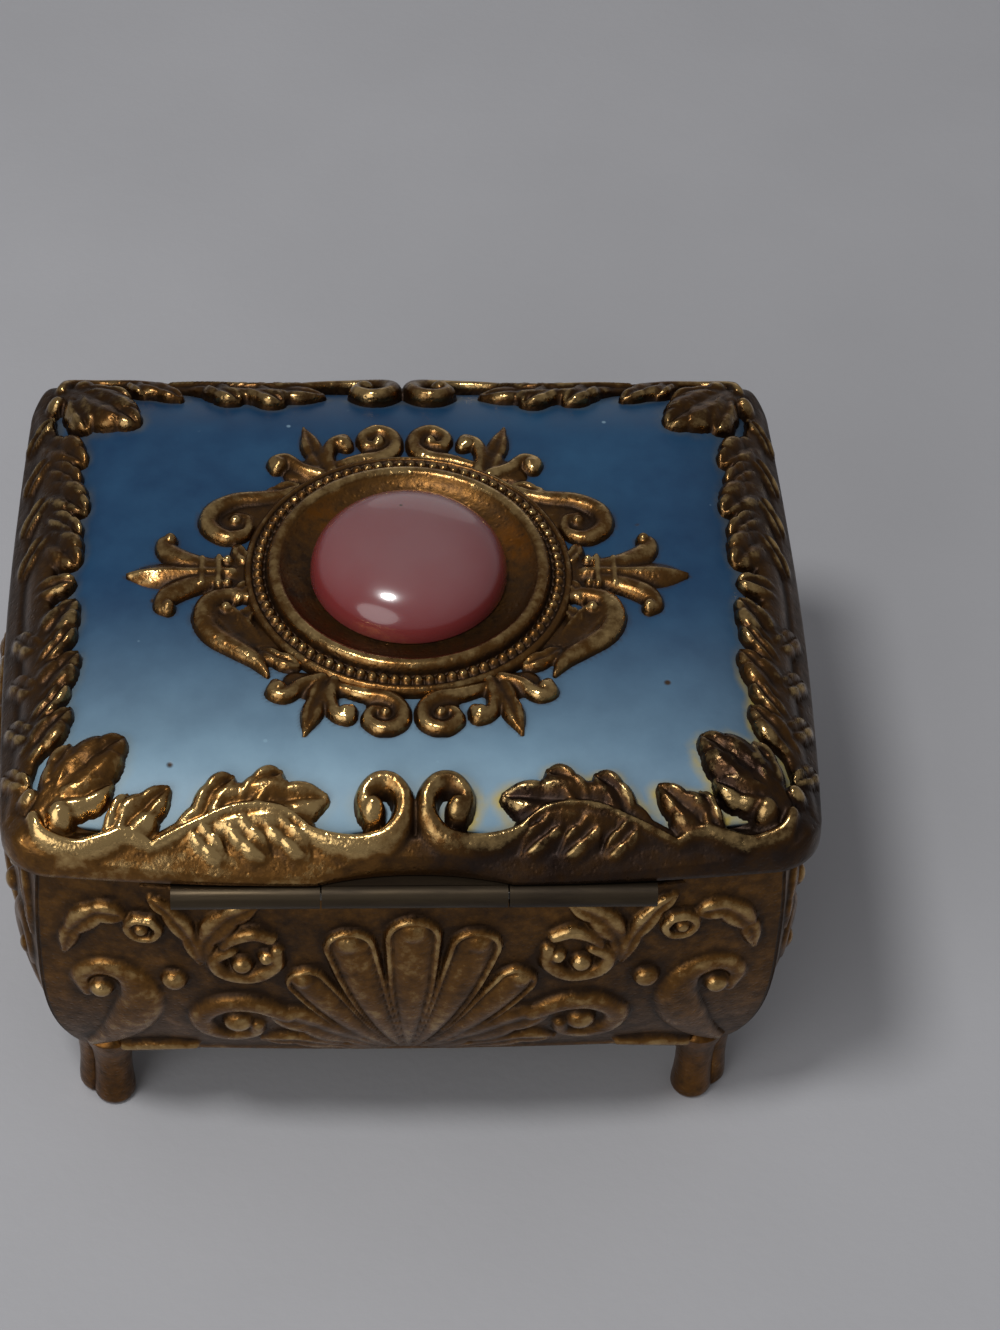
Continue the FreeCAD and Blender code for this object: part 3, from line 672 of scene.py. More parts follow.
def lid_ring(inset, thin=1):
    """Lid outline drawn in by inset, the same count of points at every inset."""
    side, corner, bow, dip = (count // thin for count in ARC_SAMPLES)
    x_side = HALF_WIDTH - inset
    y_end = HALF_DEPTH - inset
    radius = CORNER_RADIUS - CORNER_DRAW * inset
    x_corner, y_corner = x_side - SIDE_BOW, y_end - END_BOW
    x_round, y_round = x_corner - radius, y_corner - radius
    reach = radius * math.sqrt(0.5)
    sink = NOTCH_DEPTH * (1 - inset / NOTCH_FADE)
    x_bow, y_bow = (x_round + SHOULDER) / 2, y_end - END_BOW / 4
    half = [
        arc_points((x_corner, -y_round), (x_side, 0), (x_corner, y_round), side),
        arc_points((x_corner, y_round), (x_round + reach, y_round + reach), (x_round, y_corner), corner),
        arc_points((x_round, y_corner), (x_bow, y_bow), (SHOULDER, y_end), bow),
        arc_points((SHOULDER, y_end), (0, y_end - sink), (-SHOULDER, y_end), dip),
        arc_points((-SHOULDER, y_end), (-x_bow, y_bow), (-x_round, y_corner), bow),
        arc_points((-x_round, y_corner), (-x_round - reach, y_round + reach), (-x_corner, y_round), corner),
    ]
    half = np.vstack(half)
    return np.vstack([half, -half])


def crown(x, y):
    """Level of the lid's pillow surface."""
    radius = (CROWN_RUN**2 + (CROWN_LEVEL - RIM_LEVEL) ** 2) / (2 * (CROWN_LEVEL - RIM_LEVEL))

    def fall(distance, half):
        run = np.clip(np.abs(distance) - (half - CROWN_RUN), 0, CROWN_RUN)
        return radius - np.sqrt(radius**2 - run**2)

    fall_x, fall_y = fall(x, HALF_WIDTH), fall(y, HALF_DEPTH)
    meet = np.clip(CROWN_BLEND - np.abs(fall_x - fall_y), 0, None)
    soft = np.minimum(1, np.minimum(fall_x, fall_y) / CROWN_BLEND)
    return CROWN_LEVEL - np.maximum(fall_x, fall_y) - soft * meet**2 / (4 * CROWN_BLEND)


def belly_inset(level):
    """How far the middle of a panel lies inside its widest line."""
    share = (level - FOOT_HEIGHT) / BODY_HEIGHT
    below = BOTTOM_INSET * np.clip(1 - share / BELLY_SHARE, 0, None) ** BELLY_POWER
    above = MOUTH_INSET * (np.clip(share - BELLY_SHARE, 0, None) / (1 - BELLY_SHARE)) ** 2
    return below + above


def panel_bow(level):
    """How far the middle of a panel stands out past its corners."""
    share = np.clip((level - FOOT_HEIGHT) / BODY_HEIGHT / BELLY_SHARE, 0, 1)
    return BOTTOM_BOW + (BELLY_BOW - BOTTOM_BOW) * np.sin(share * math.pi / 2)


def panel_point(side, across, level, shrink, bowed=True):
    """Place on a panel's wall; across runs from -1 to 1 between the seams."""
    along_x = side in LONG_SIDES
    half_run, half_out = BODY_HALF_WIDTH, BODY_HALF_DEPTH
    if not along_x:
        half_run, half_out = half_out, half_run
    inset = belly_inset(level) + shrink
    bow = panel_bow(level)
    seam = half_run - inset - bow
    run = across * seam
    share = np.clip((level - FOOT_HEIGHT) / BODY_HEIGHT, 0, 1)
    swell = 0 if along_x else 4 * SIDE_BULGE * share * (1 - share)
    bow = bow + swell
    radius = (seam**2 + bow**2) / (2 * bow)
    sag = radius - np.sqrt(radius**2 - run**2) if bowed else bow
    out = half_out + swell - inset - sag
    if side == "back":
        x, y = -run, out
    elif side == "front":
        x, y = run, -out
    elif side == "right":
        x, y = out, run
    else:
        x, y = -out, -run
    return np.stack([x, y + LID_MIDDLE_Y, level + 0 * x], axis=-1)


def grid_faces(rows, columns, wrap_rows, wrap_columns):
    """Quads of a grid and their places in a flat map."""
    last_row = rows if wrap_rows else rows - 1
    last_column = columns if wrap_columns else columns - 1
    i, j = np.meshgrid(np.arange(last_row), np.arange(last_column), indexing="ij")
    i, j = i.ravel(), j.ravel()
    k, m = (i + 1) % rows, (j + 1) % columns
    faces = np.stack([i * columns + j, i * columns + m, k * columns + m, k * columns + j], axis=1)
    u0, u1, v0, v1 = j / last_column, (j + 1) / last_column, i / last_row, (i + 1) / last_row
    flat = np.stack([u0, v0, u1, v0, u1, v1, u0, v1], axis=1).reshape(-1, 4, 2)
    return faces, flat


class Casting:
    """Collects the shells of one piece, then makes its mesh."""

    def __init__(self):
        self.points = []
        self.faces = []
        self.flat = []
        self.marks = {"relief": [], "hollow": [], "stain": [], "film": []}
        self.count = 0

    def add(self, points, faces, flat, **marks):
        """Adds a shell; marks are per-point values that the finishes read."""
        self.faces += [[index + self.count for index in face] for face in faces]
        self.flat += [place for face in flat for place in face]
        self.points.append(points)
        for name, values in self.marks.items():
            values.append(np.broadcast_to(marks.get(name, 0.0), len(points)))
        self.count += len(points)

    def make(self, name, finish, body, slot, *nodes):
        """Links the piece and says which body carries it and which nodes it stands for."""
        points = np.vstack(self.points) * MM
        mesh = bpy.data.meshes.new(name)
        mesh.from_pydata(points.tolist(), [], self.faces)
        mesh.polygons.foreach_set("use_smooth", [True] * len(mesh.polygons))
        layer = mesh.uv_layers.new(name="OFBake")
        layer.data.foreach_set("uv", np.array(self.flat, float).ravel())
        for mark, values in self.marks.items():
            values = np.concatenate(values)
            mesh.attributes.new(mark, "FLOAT", "POINT").data.foreach_set("value", values)
        mesh.materials.append(finish)
        mesh.update()
        piece = bpy.data.objects.new(name, mesh)
        bpy.context.scene.collection.objects.link(piece)
        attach(piece, body)
        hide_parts(*nodes)
        return piece


def cap_flat(points):
    """Places of a closing face in a small corner of the map."""
    low, high = points.min(axis=0), points.max(axis=0)
    return ((points - low) / np.maximum(high - low, 1e-6) * 0.01).tolist()


def capped_tube(points, size=(1.0, 0.95), corner=(0.0, 0.03), flip=False):
    """Faces of a tube of rings, closed at both ends, and their places in the map."""
    rows, columns = points.shape[:2]
    faces, flat = grid_faces(rows, columns, False, True)
    first = list(range(columns))[::-1]
    last = list(range((rows - 1) * columns, rows * columns))
    faces = faces.tolist() + [first, last]
    flat = (flat * size + corner).tolist()
    flat += [cap_flat(points[0, ::-1, :2]), cap_flat(points[-1, :, :2])]
    if flip:
        faces = [face[::-1] for face in faces]
        flat = [place[::-1] for place in flat]
    return faces, flat


def thick_sheet(faces, flat, count, size, corner):
    """Faces of a sheet, its back that lies count points on, and the walls that join their rims."""
    edges = np.concatenate([faces[:, [i, (i + 1) % 4]] for i in range(4)]).tolist()
    known = {(a, b) for a, b in edges}
    walls = [(b, a, a + count, b + count) for a, b in edges if (b, a) not in known]
    back_corner = np.add(corner, (0.5, 0.0))
    places = (flat * size + corner).tolist() + (flat[:, ::-1] * size + back_corner).tolist()
    places += [[(0.0, 0.97), (0.01, 0.97), (0.01, 0.98), (0.0, 0.98)]] * len(walls)
    return faces.tolist() + (faces[:, ::-1] + count).tolist() + walls, places


# ---------------------------------------------------------------- finishes


class Finish:
    """A material with its node tree and short calls to fill it."""

    def __init__(self, name):
        self.material = bpy.data.materials.new(name)
        self.material.use_nodes = True
        self.tree = self.material.node_tree
        self.tree.nodes.clear()
        output = self.node("ShaderNodeOutputMaterial")
        self.shader = self.node("ShaderNodeBsdfPrincipled")
        self.tree.links.new(self.shader.outputs[0], output.inputs["Surface"])
        self.place = self.node("ShaderNodeTexCoord").outputs["Object"]

    def node(self, kind, **settings):
        made = self.tree.nodes.new(kind)
        for name, value in settings.items():
            setattr(made, name, value)
        return made

    def feed(self, socket, value):
        """Links an output to a socket, or sets a plain value."""
        if isinstance(value, bpy.types.NodeSocket):
            self.tree.links.new(value, socket)
        else:
            socket.default_value = value

    def noise(self, scale, detail=4.0, rough=0.55):
        made = self.node("ShaderNodeTexNoise")
        self.feed(made.inputs["Vector"], self.place)
        made.inputs["Scale"].default_value = scale
        made.inputs["Detail"].default_value = detail
        made.inputs["Roughness"].default_value = rough
        return made.outputs["Fac"]

    def cells(self, scale):
        made = self.node("ShaderNodeTexVoronoi")
        self.feed(made.inputs["Vector"], self.place)
        made.inputs["Scale"].default_value = scale
        return made.outputs["Distance"]

    def mark(self, name):
        """Per-point value that the mesh carries."""
        return self.node("ShaderNodeAttribute", attribute_name=name).outputs["Fac"]

    def math(self, operation, a, b):
        made = self.node("ShaderNodeMath", operation=operation)
        self.feed(made.inputs[0], a)
        self.feed(made.inputs[1], b)
        return made.outputs[0]

    def span(self, value, low, high, to_low=0.0, to_high=1.0):
        """Maps low to high onto another range, and holds its ends."""
        made = self.node("ShaderNodeMapRange")
        self.feed(made.inputs["Value"], value)
        for name, number in (("From Min", low), ("From Max", high), ("To Min", to_low), ("To Max", to_high)):
            made.inputs[name].default_value = number
        return made.outputs["Result"]

    def ramp(self, value, stops):
        made = self.node("ShaderNodeValToRGB")
        self.feed(made.inputs["Fac"], value)
        elements = made.color_ramp.elements
        while len(elements) < len(stops):
            elements.new(0.5)
        for element, (place, colour) in zip(elements, stops):
            element.position = place
            element.color = (*colour, 1.0)
        return made.outputs["Color"]

    def mix(self, share, a, b):
        """Colour a turning into colour b."""
        made = self.node("ShaderNodeMix", data_type="RGBA")
        self.feed(made.inputs["Factor"], share)
        for name, value in (("A", a), ("B", b)):
            socket = next(s for s in made.inputs if s.name == name and s.type == "RGBA")
            self.feed(socket, value if isinstance(value, bpy.types.NodeSocket) else (*value, 1.0))
        return next(s for s in made.outputs if s.type == "RGBA")

    def bump(self, height, distance, strength=1.0):
        made = self.node("ShaderNodeBump")
        self.feed(made.inputs["Height"], height)
        made.inputs["Distance"].default_value = distance
        made.inputs["Strength"].default_value = strength
        self.feed(self.shader.inputs["Normal"], made.outputs["Normal"])

    def set(self, **sockets):
        """Fills the shader's sockets, named with underscores for spaces."""
        for name, value in sockets.items():
            self.feed(self.shader.inputs[name.replace("_", " ")], value)


def gilt_finish(colours):
    """Aged gilding: dark deposit in the hollows, worn gold on the high points, and a painted highlight,
    brighter gold, at one end of the hinge side.
    """
    finish = Finish("aged_gilt")
    broad = finish.noise(140.0, 3.0)
    fine = finish.noise(760.0, 5.0, 0.65)
    height = finish.span(finish.mark("relief"), 0.0, 1.0, 0.0, 0.34)
    # Painted highlight: this mark lifts the wear at one end of the hinge side, so the gold there is brighter
    # and glossier where light is reflected.
    height = finish.math("ADD", height, finish.math("MULTIPLY", finish.mark("film"), 0.3))
    hollow = finish.span(finish.mark("hollow"), 0.25, 0.8, -0.2, 0.38)
    wear = finish.math("ADD", height, hollow)
    wear = finish.math("ADD", wear, finish.span(fine, 0.3, 0.7, -0.22, 0.2))
    wear = finish.math("ADD", wear, finish.span(broad, 0.35, 0.65, -0.02, 0.24))
    stops = (
        (0.0, colours.gilt_patina),
        (0.3, [0.45 * body + 0.3 * dark for body, dark in zip(colours.gilt_body, colours.gilt_patina)]),
        (0.55, colours.gilt_body),
        (0.95, colours.gilt_bright),
    )
    gold = finish.ramp(wear, stops)
    tarnish = finish.span(finish.mark("stain"), -1.0, 0.0, 1.0, 0.0)
    tarnish = finish.math("MULTIPLY", tarnish, finish.span(broad, 0.3, 0.6, 0.35, 0.95))
    dull = finish.mix(finish.span(wear, 0.64, 1.05), colours.gilt_tarnish, colours.gilt_bright)
    gold = finish.mix(tarnish, gold, dull)
    amber = finish.math("MULTIPLY", finish.span(finish.mark("stain"), 0.0, 1.0), finish.span(fine, 0.35, 0.6))
    gold = finish.mix(amber, gold, colours.amber)
    finish.set(Base_Color=gold, Metallic=finish.span(wear, 0.05, 0.5, 0.8, 0.98),
               Roughness=finish.span(wear, 0.1, 0.9, 0.46, 0.15))
    grain = finish.math("ADD", finish.noise(2600.0, 4.0, 0.6), finish.span(finish.cells(1500.0), 0.0, 0.35))
    dents = finish.math("MULTIPLY", finish.noise(560.0, 3.0, 0.5), 2.5)
    finish.bump(finish.math("ADD", grain, dents), 0.00006, 0.55)
    return finish.material


def enamel_finish(colours):
    """Dusty blue enamel with pits, scuffs and a yellowed worn rim; a painted sheen pales it towards the hinge
    and a painted shadow darkens it round the ornaments.
    """
    finish = Finish("dusty_blue_enamel")
    broad = finish.noise(38.0, 4.0)
    cloud = finish.noise(190.0, 5.0, 0.62)
    tone = finish.math("ADD", finish.span(broad, 0.3, 0.7), finish.span(cloud, 0.3, 0.7, -0.3, 0.3))
    blue = finish.mix(finish.span(tone, 0.0, 1.1), colours.enamel_dark, colours.enamel_light)
    # Painted sheen: paler enamel towards the hinge, where it catches the light.
    film = finish.math("MULTIPLY", finish.mark("film"), finish.span(cloud, 0.3, 0.7, 0.82, 1.0))
    blue = finish.mix(film, blue, colours.enamel_film)
    rim = finish.math("MULTIPLY", finish.mark("relief"), finish.span(finish.noise(300.0, 3.0), 0.3, 0.6))
    worn = finish.math("MULTIPLY", rim, finish.span(finish.mark("stain"), 0.0, 1.0, 0.12, 0.95))
    blue = finish.mix(worn, blue, colours.enamel_worn)
    pits = finish.span(finish.cells(210.0), 0.06, 0.1, 1.0, 0.0)
    pits = finish.math("MULTIPLY", pits, finish.span(finish.noise(95.0, 2.0), 0.5, 0.54))
    blue = finish.mix(pits, blue, colours.gilt_patina)
    chips = finish.span(finish.cells(330.0), 0.05, 0.09, 0.6, 0.0)
    chips = finish.math("MULTIPLY", chips, finish.span(finish.noise(120.0, 2.0), 0.53, 0.57))
    blue = finish.mix(chips, blue, colours.enamel_film)
    # Painted shadow: darker enamel round the medallion ornaments, read from the hollow mark.
    shadow = finish.span(finish.mark("hollow"), 0.0, 1.0, 0.0, 0.55)
    blue = finish.mix(shadow, blue, colours.gilt_patina)
    finish.set(Base_Color=blue, Roughness=finish.span(cloud, 0.3, 0.7, 0.4, 0.52), Specular_IOR_Level=0.32,
               Coat_Weight=0.06, Coat_Roughness=0.32)
    ripple = finish.math("ADD", finish.noise(260.0, 5.0, 0.6), finish.math("MULTIPLY", pits, -2.0))
    finish.bump(ripple, 0.00006, 0.5)
    return finish.material


def stone_finish(colours):
    """Pink stone, greyer and paler on its crown: partly its own pearly tone, partly a painted reflection of
    the light above.
    """
    finish = Finish("pearly_pink_stone")
    swirl = finish.noise(120.0, 3.0, 0.5)
    level = finish.math("ADD", finish.mark("relief"), finish.span(swirl, 0.3, 0.7, -0.1, 0.1))
    # Paler, greyer crown: partly the stone's pearly tone, partly a painted reflection.
    pink = finish.mix(finish.span(level, 0.35, 1.0), colours.stone_rim, colours.stone_top)
    speck = finish.span(finish.cells(260.0), 0.03, 0.06, 1.0, 0.0)
    speck = finish.math("MULTIPLY", speck, finish.span(finish.noise(90.0, 2.0), 0.6, 0.64))
    pink = finish.mix(speck, pink, colours.gilt_patina)
    finish.set(Base_Color=pink, Roughness=finish.span(swirl, 0.3, 0.7, 0.16, 0.26), Coat_Weight=0.45,
               Coat_Roughness=0.04, Subsurface_Weight=0.15, Subsurface_Scale=0.002)
    finish.bump(finish.noise(420.0, 2.0), 0.00002, 0.3)
    return finish.material


def velvet_finish(colours):
    """Short pile with crushed patches."""
    finish = Finish("wine_velvet")
    crush = finish.noise(110.0, 4.0)
    pile = finish.noise(5200.0, 2.0)
    tips = finish.span(pile, 0.3, 0.7, -0.2, 0.25)
    shade = finish.math("ADD", finish.span(crush, 0.3, 0.7, 0.2, 0.75), tips)
    dark = [0.35 * part for part in colours.velvet]
    finish.set(Base_Color=finish.mix(shade, dark, colours.velvet), Sheen_Weight=0.4, Sheen_Roughness=0.35,
               Roughness=finish.span(pile, 0.3, 0.7, 0.75, 0.95))
    finish.bump(finish.math("ADD", pile, finish.math("MULTIPLY", crush, 3.0)), 0.0002, 0.6)
    return finish.material


def floor_finish(colours):
    """Plain matt floor with a faint grain."""
    finish = Finish("pale_floor")
    low = [0.94 * part for part in colours.floor]
    tone = finish.mix(finish.span(finish.noise(24.0, 5.0), 0.3, 0.7), low, colours.floor)
    finish.set(Base_Color=tone, Roughness=0.85)
    finish.bump(finish.noise(700.0, 3.0), 0.0002, 0.2)
    return finish.material


def plain_metal_finish(name, bright, body, streak):
    """Drawn or rolled metal with length-wise streaks and dull spots."""
    finish = Finish(name)
    stretch = finish.node("ShaderNodeMapping")
    stretch.inputs["Scale"].default_value = streak
    finish.feed(stretch.inputs["Vector"], finish.place)
    finish.place = stretch.outputs["Vector"]
    lines = finish.noise(900.0, 4.0, 0.6)
    patch = finish.noise(160.0, 4.0)
    spots = finish.span(patch, 0.35, 0.65, -0.2, 0.5)
    share = finish.math("ADD", finish.span(lines, 0.3, 0.7, 0.0, 0.6), spots)
    finish.set(Base_Color=finish.mix(share, body, bright), Metallic=finish.span(share, 0.0, 1.0, 0.8, 1.0),
               Roughness=finish.span(share, 0.0, 1.0, 0.5, 0.28))
    finish.bump(lines, 0.00004, 0.5)
    return finish.material


# ---------------------------------------------------------------- operators


class BOX_OT_stage(bpy.types.Operator):
    """Adds the floor, the light and the camera"""

    bl_idname = "trinket_box.stage"
    bl_label = "Stage"

    def execute(self, context):
        context.scene.view_settings.view_transform = "Standard"
        self.floor(context.scene)
        self.light(context.scene)
        self.camera(context.scene)
        return {"FINISHED"}

    def floor(self, scene):
        """Plain pale floor."""
        corners = [(x * FLOOR_HALF, y * FLOOR_HALF, 0) for x, y in ((-1, -1), (1, -1), (1, 1), (-1, 1))]
        mesh = bpy.data.meshes.new("floor")
        mesh.from_pydata(corners, [], [(0, 1, 2, 3)])
        mesh.materials.append(FINISHES["floor"])
        floor = bpy.data.objects.new("floor", mesh)
        scene.collection.objects.link(floor)

    def light(self, scene):
        """Grey world and three soft lamps that face the box."""
        scene.world = bpy.data.worlds.new("studio")
        scene.world.use_nodes = True
        sky = scene.world.node_tree.nodes["Background"].inputs
        sky["Color"].default_value = WORLD_COLOUR
        sky["Strength"].default_value = WORLD_STRENGTH
        for name, place, size, power in LAMPS:
            light = bpy.data.lights.new(name, "AREA")
            light.shape = "DISK"
            light.size = size
            light.energy = power
            lamp = bpy.data.objects.new(name, light)
            lamp.location = place
            lamp.rotation_euler = (LAMP_TARGET - Vector(place)).to_track_quat("-Z", "Y").to_euler()
            scene.collection.objects.link(lamp)

    def camera(self, scene):
        """Camera above the hinge side, rolled a little."""
        azimuth, elevation = math.radians(CAMERA_AZIMUTH), math.radians(CAMERA_ELEVATION)
        roll = math.radians(CAMERA_ROLL)
        level = math.cos(elevation)
        ahead = Vector((-math.sin(azimuth) * level, math.cos(azimuth) * level, -math.sin(elevation)))
        right = Vector((math.cos(azimuth), math.sin(azimuth), 0.0))
        above = right.cross(ahead)
        turned = math.cos(roll) * right + math.sin(roll) * above
        above = -math.sin(roll) * right + math.cos(roll) * above
        data = bpy.data.cameras.new("photo_camera")
        data.sensor_width = SENSOR_WIDTH
        data.lens = FOCAL_SHARE * SENSOR_WIDTH
        data.clip_start = CLIP_START
        camera = bpy.data.objects.new("photo_camera", data)
        axes = Matrix((turned, above, -ahead)).transposed().to_4x4()
        camera.matrix_world = Matrix.Translation(CAMERA_PLACE) @ axes
        scene.collection.objects.link(camera)
        scene.camera = camera


class BOX_OT_lid(bpy.types.Operator):
    """Makes the lid casting with its leaf border"""

    bl_idname = "trinket_box.lid"
    bl_label = "Lid casting"

    def execute(self, context):
        height = context.scene.box_sizes.leaf_height / MM
        section = self.section()
        rings = np.stack([lid_ring(inset) for inset, level in section])
        x, y = rings[..., 0], rings[..., 1]
        insets = np.array([inset for inset, level in section])[:, None]
        carved = np.array([level == "carved" for inset, level in section])[:, None]
        relief = border_relief(x, y, insets + 0 * x, height)
        drops = {"seat": PLATE_DROP, "carved": ENAMEL_DROP, "hollow": POCKET_DROP}
        z = crown(x, y)
        for row, (inset, level) in enumerate(section):
            z[row] = z[row] - drops[level] if level in drops else level
        z += np.where(carved, relief, 0.0)
        points = np.stack([x, y + LID_MIDDLE_Y, z], axis=-1)
        near = ramp(y, *NEAR_SIDE)
        tarnish = SIDE_TARNISH * (1 - near) + near * ramp(-x, *TARNISHED_END)
        painted_highlight = near * ramp(x, *HIGHLIGHT_END) * ramp(y, *HIGHLIGHT_SIDE)
        lifted = np.where(carved, np.clip(relief / height, 0, 1), GROUND_MARK)
        hollow = np.where(carved, hollow_mark(relief, *LID_HOLLOW, (False, True)), 0.5)
        casting = Casting()
        casting.add(points.reshape(-1, 3), *capped_tube(points, flip=True), relief=lifted.ravel(),
                    hollow=hollow.ravel(), stain=-tarnish.ravel(), film=painted_highlight.ravel())
        casting.make("lid_border", FINISHES["gilt"], "lid", "gilt_metal", "lid_casting")
        return {"FINISHED"}

    def section(self):
        """Rows as (inset, level): over the enamel's seat and the border, down the rim, into the hollow."""
        carved = [*EDGE_INSETS, *np.linspace(*CARVED_INSETS, CARVED_ROWS)]
        rows = [(inset, "seat") for inset in SEAT_INSETS]
        rows += [(inset, "carved") for inset in carved[::-1]]
        rows += [(0.0, RIM_LEVEL - RIM_EASE), (0.0, LID_LEVEL + EDGE_EASE), (EDGE_EASE, LID_LEVEL)]
        rows += [(LAND_INSET, LID_LEVEL), (POCKET_INSET, LID_LEVEL)]
        return rows + [(inset, "hollow") for inset in HOLLOW_INSETS]


class BOX_OT_enamel(bpy.types.Operator):
    """Lays the enamel inside the leaf border"""

    bl_idname = "trinket_box.enamel"
    bl_label = "Enamel"

    def execute(self, context):
        sizes = context.scene.box_sizes
        insets = np.linspace(*ENAMEL_INSETS, ENAMEL_ROWS)
        outer = [lid_ring(inset, ENAMEL_THIN) for inset in insets]
        field = lid_ring(FIELD_INSET, ENAMEL_THIN)
        inner = [field * share for share in np.linspace(*FIELD_SHARES, FIELD_ROWS)]
        rings = np.stack(outer + inner)
        x, y = rings[..., 0], rings[..., 1]
        insets = np.concatenate([insets, np.full(FIELD_ROWS, FIELD_INSET)])[:, None] + 0 * x
        edge = border_relief(x, y, insets, sizes.leaf_height / MM)
        covered = (edge > WORN_LEVEL).astype(float)
        worn = np.clip(WORN_GAIN * blur(covered, WORN_REACH, (False, True)), 0, 1)
        # Painted sheen: pales the enamel towards the hinge, less at the -x end.
        film = PAINTED_SHEEN_STRENGTH * ramp(y, *PAINTED_SHEEN_SIDE) ** PAINTED_SHEEN_POWER * (1 - PAINTED_SHEEN_LOSS * ramp(-x, *PAINTED_SHEEN_LOSS_END))
        stain = ramp(-x, *WORN_END) * ramp(y, *WORN_SIDE)
        # Painted shadow: darker enamel round the medallion ornaments, outside the ring.
        painted_shadow = ramp(ornament_relief(x, y, 1.0), -SHADOW_DEPTH, SHADOW_DEPTH)
        painted_shadow *= np.hypot(x, y) > SHADOW_RADIUS
        top = np.stack([x, y + LID_MIDDLE_Y, crown(x, y) - ENAMEL_DROP], axis=-1)
        under = top[list(BACK_ROWS)] - (0.0, 0.0, ENAMEL_THICK - ENAMEL_FIT)
        points = np.concatenate([top, under])
        rows, columns = points.shape[:2]
        faces, flat = grid_faces(rows, columns, True, True)
        plain = np.zeros((len(under), columns))
        marks = {"relief": worn, "hollow": painted_shadow, "stain": stain, "film": film}
        marks = {name: np.concatenate([values, plain]).ravel() for name, values in marks.items()}
        casting = Casting()
        casting.add(points.reshape(-1, 3), faces.tolist(), flat.tolist(), **marks)
        casting.make("enamel", FINISHES["enamel"], "lid", "enamel", "enamel_field")
        return {"FINISHED"}


class BOX_OT_medallion(bpy.types.Operator):
    """Makes the medallion: beaded ring, scrolls, fleurs and sprays"""

    bl_idname = "trinket_box.medallion"
    bl_label = "Medallion"

    def execute(self, context):
        sizes = context.scene.box_sizes
        level = CROWN_LEVEL - ENAMEL_DROP
        casting = Casting()
        self.ring(casting, level, sizes.bead_count)
        self.ornaments(casting, level, sizes.ornament_height / MM)
        casting.make("medallion", FINISHES["gilt"], "lid", "gilt_metal", "medallion_frame")
        return {"FINISHED"}

    def ring(self, casting, level, bead_count):
        """Turned ring with its row of beads and the dish under the stone."""
        corners = np.array(RING_SECTION)
        outer, base = RING_SECTION[0]
        inner = RING_SECTION[-1][0]
        length = np.concatenate([[0], np.cumsum(np.hypot(*np.diff(corners, axis=0).T))])
        along = np.linspace(0, length[-1], int(length[-1] / RING_STEP))
        radius = np.interp(along, length, corners[:, 0])
        rise = np.interp(along, length, corners[:, 1])
        columns = bead_count * BEAD_COLUMNS
        angle = 2 * math.pi * np.arange(columns) / columns
        step = 2 * math.pi / bead_count
        off = (np.mod(angle, step) - step / 2) * BEAD_CIRCLE
        gap = np.hypot(radius[:, None] - BEAD_CIRCLE, off[None, :]) / BEAD_RADIUS
        beads = BEAD_SEAT + BEAD_RISE * tube_section(np.minimum(gap, 1))
        height = np.maximum(rise[:, None] + 0 * gap, np.where(gap < 1, beads, base))
        hollow = hollow_mark(height, *RING_HOLLOW, (False, True))
        height = np.concatenate([height, np.full((2, columns), base)])
        hollow = np.concatenate([hollow, np.zeros((2, columns))])
        radius = np.concatenate([radius, [inner, outer]])[:, None]
        x, y = radius * np.cos(angle), radius * np.sin(angle)
        points = np.stack([x, y + LID_MIDDLE_Y, level + height], axis=-1)
        amber = 0 * x
        for spot_x, spot_y, spread, strength in AMBER_SPOTS:
            amber += strength * np.exp(-((x - spot_x) ** 2 + (y - spot_y) ** 2) / spread)
        stain = np.where(radius < DISH_RADIUS, np.clip(amber, 0, 1), RING_TARNISH)
        faces, flat = grid_faces(len(radius), columns, True, True)
        casting.add(points.reshape(-1, 3), faces.tolist(), (flat * (1.0, 0.45)).tolist(),
                    relief=np.clip(height / RING_TOP, 0, 1).ravel(), hollow=hollow.ravel(),
                    stain=stain.ravel())

    def ornaments(self, casting, level, tall):
        """Pierced sheet of scrolls, fleurs and sprays that the ring overlaps."""
        steps = [int(reach / ORNAMENT_CELL) for reach in ORNAMENT_REACH]
        x, y = np.meshgrid(*(np.arange(-count, count + 1) * ORNAMENT_CELL for count in steps))
        distance = np.hypot(x, y)
        height = ornament_relief(x, y, tall)
        height = np.where(distance < RING_COVER, np.minimum(height, RING_COVER_LEVEL), height)
        hollow = hollow_mark(height, *ORNAMENT_HOLLOW)
        faces, flat = grid_faces(*x.shape, False, False)
        kept = height.ravel()[faces].max(axis=1) > ORNAMENT_CUT
        kept &= distance.ravel()[faces].min(axis=1) > RING_OVERLAP
        used, place = np.unique(faces[kept], return_inverse=True)
        top = np.stack([x, y + LID_MIDDLE_Y, level + height], axis=-1).reshape(-1, 3)[used]
        under = top * (1, 1, 0) + (0, 0, level - ORNAMENT_ROOT)
        sheet = thick_sheet(place.reshape(-1, 4), flat[kept], len(used), (0.5, 0.5), (0.0, 0.46))
        lifted = np.clip(height / tall, 0, 1).ravel()[used]
        casting.add(np.concatenate([top, under]), *sheet, relief=np.concatenate([lifted, 0 * lifted]),
                    hollow=np.concatenate([hollow.ravel()[used], 0 * lifted]), stain=RING_TARNISH)


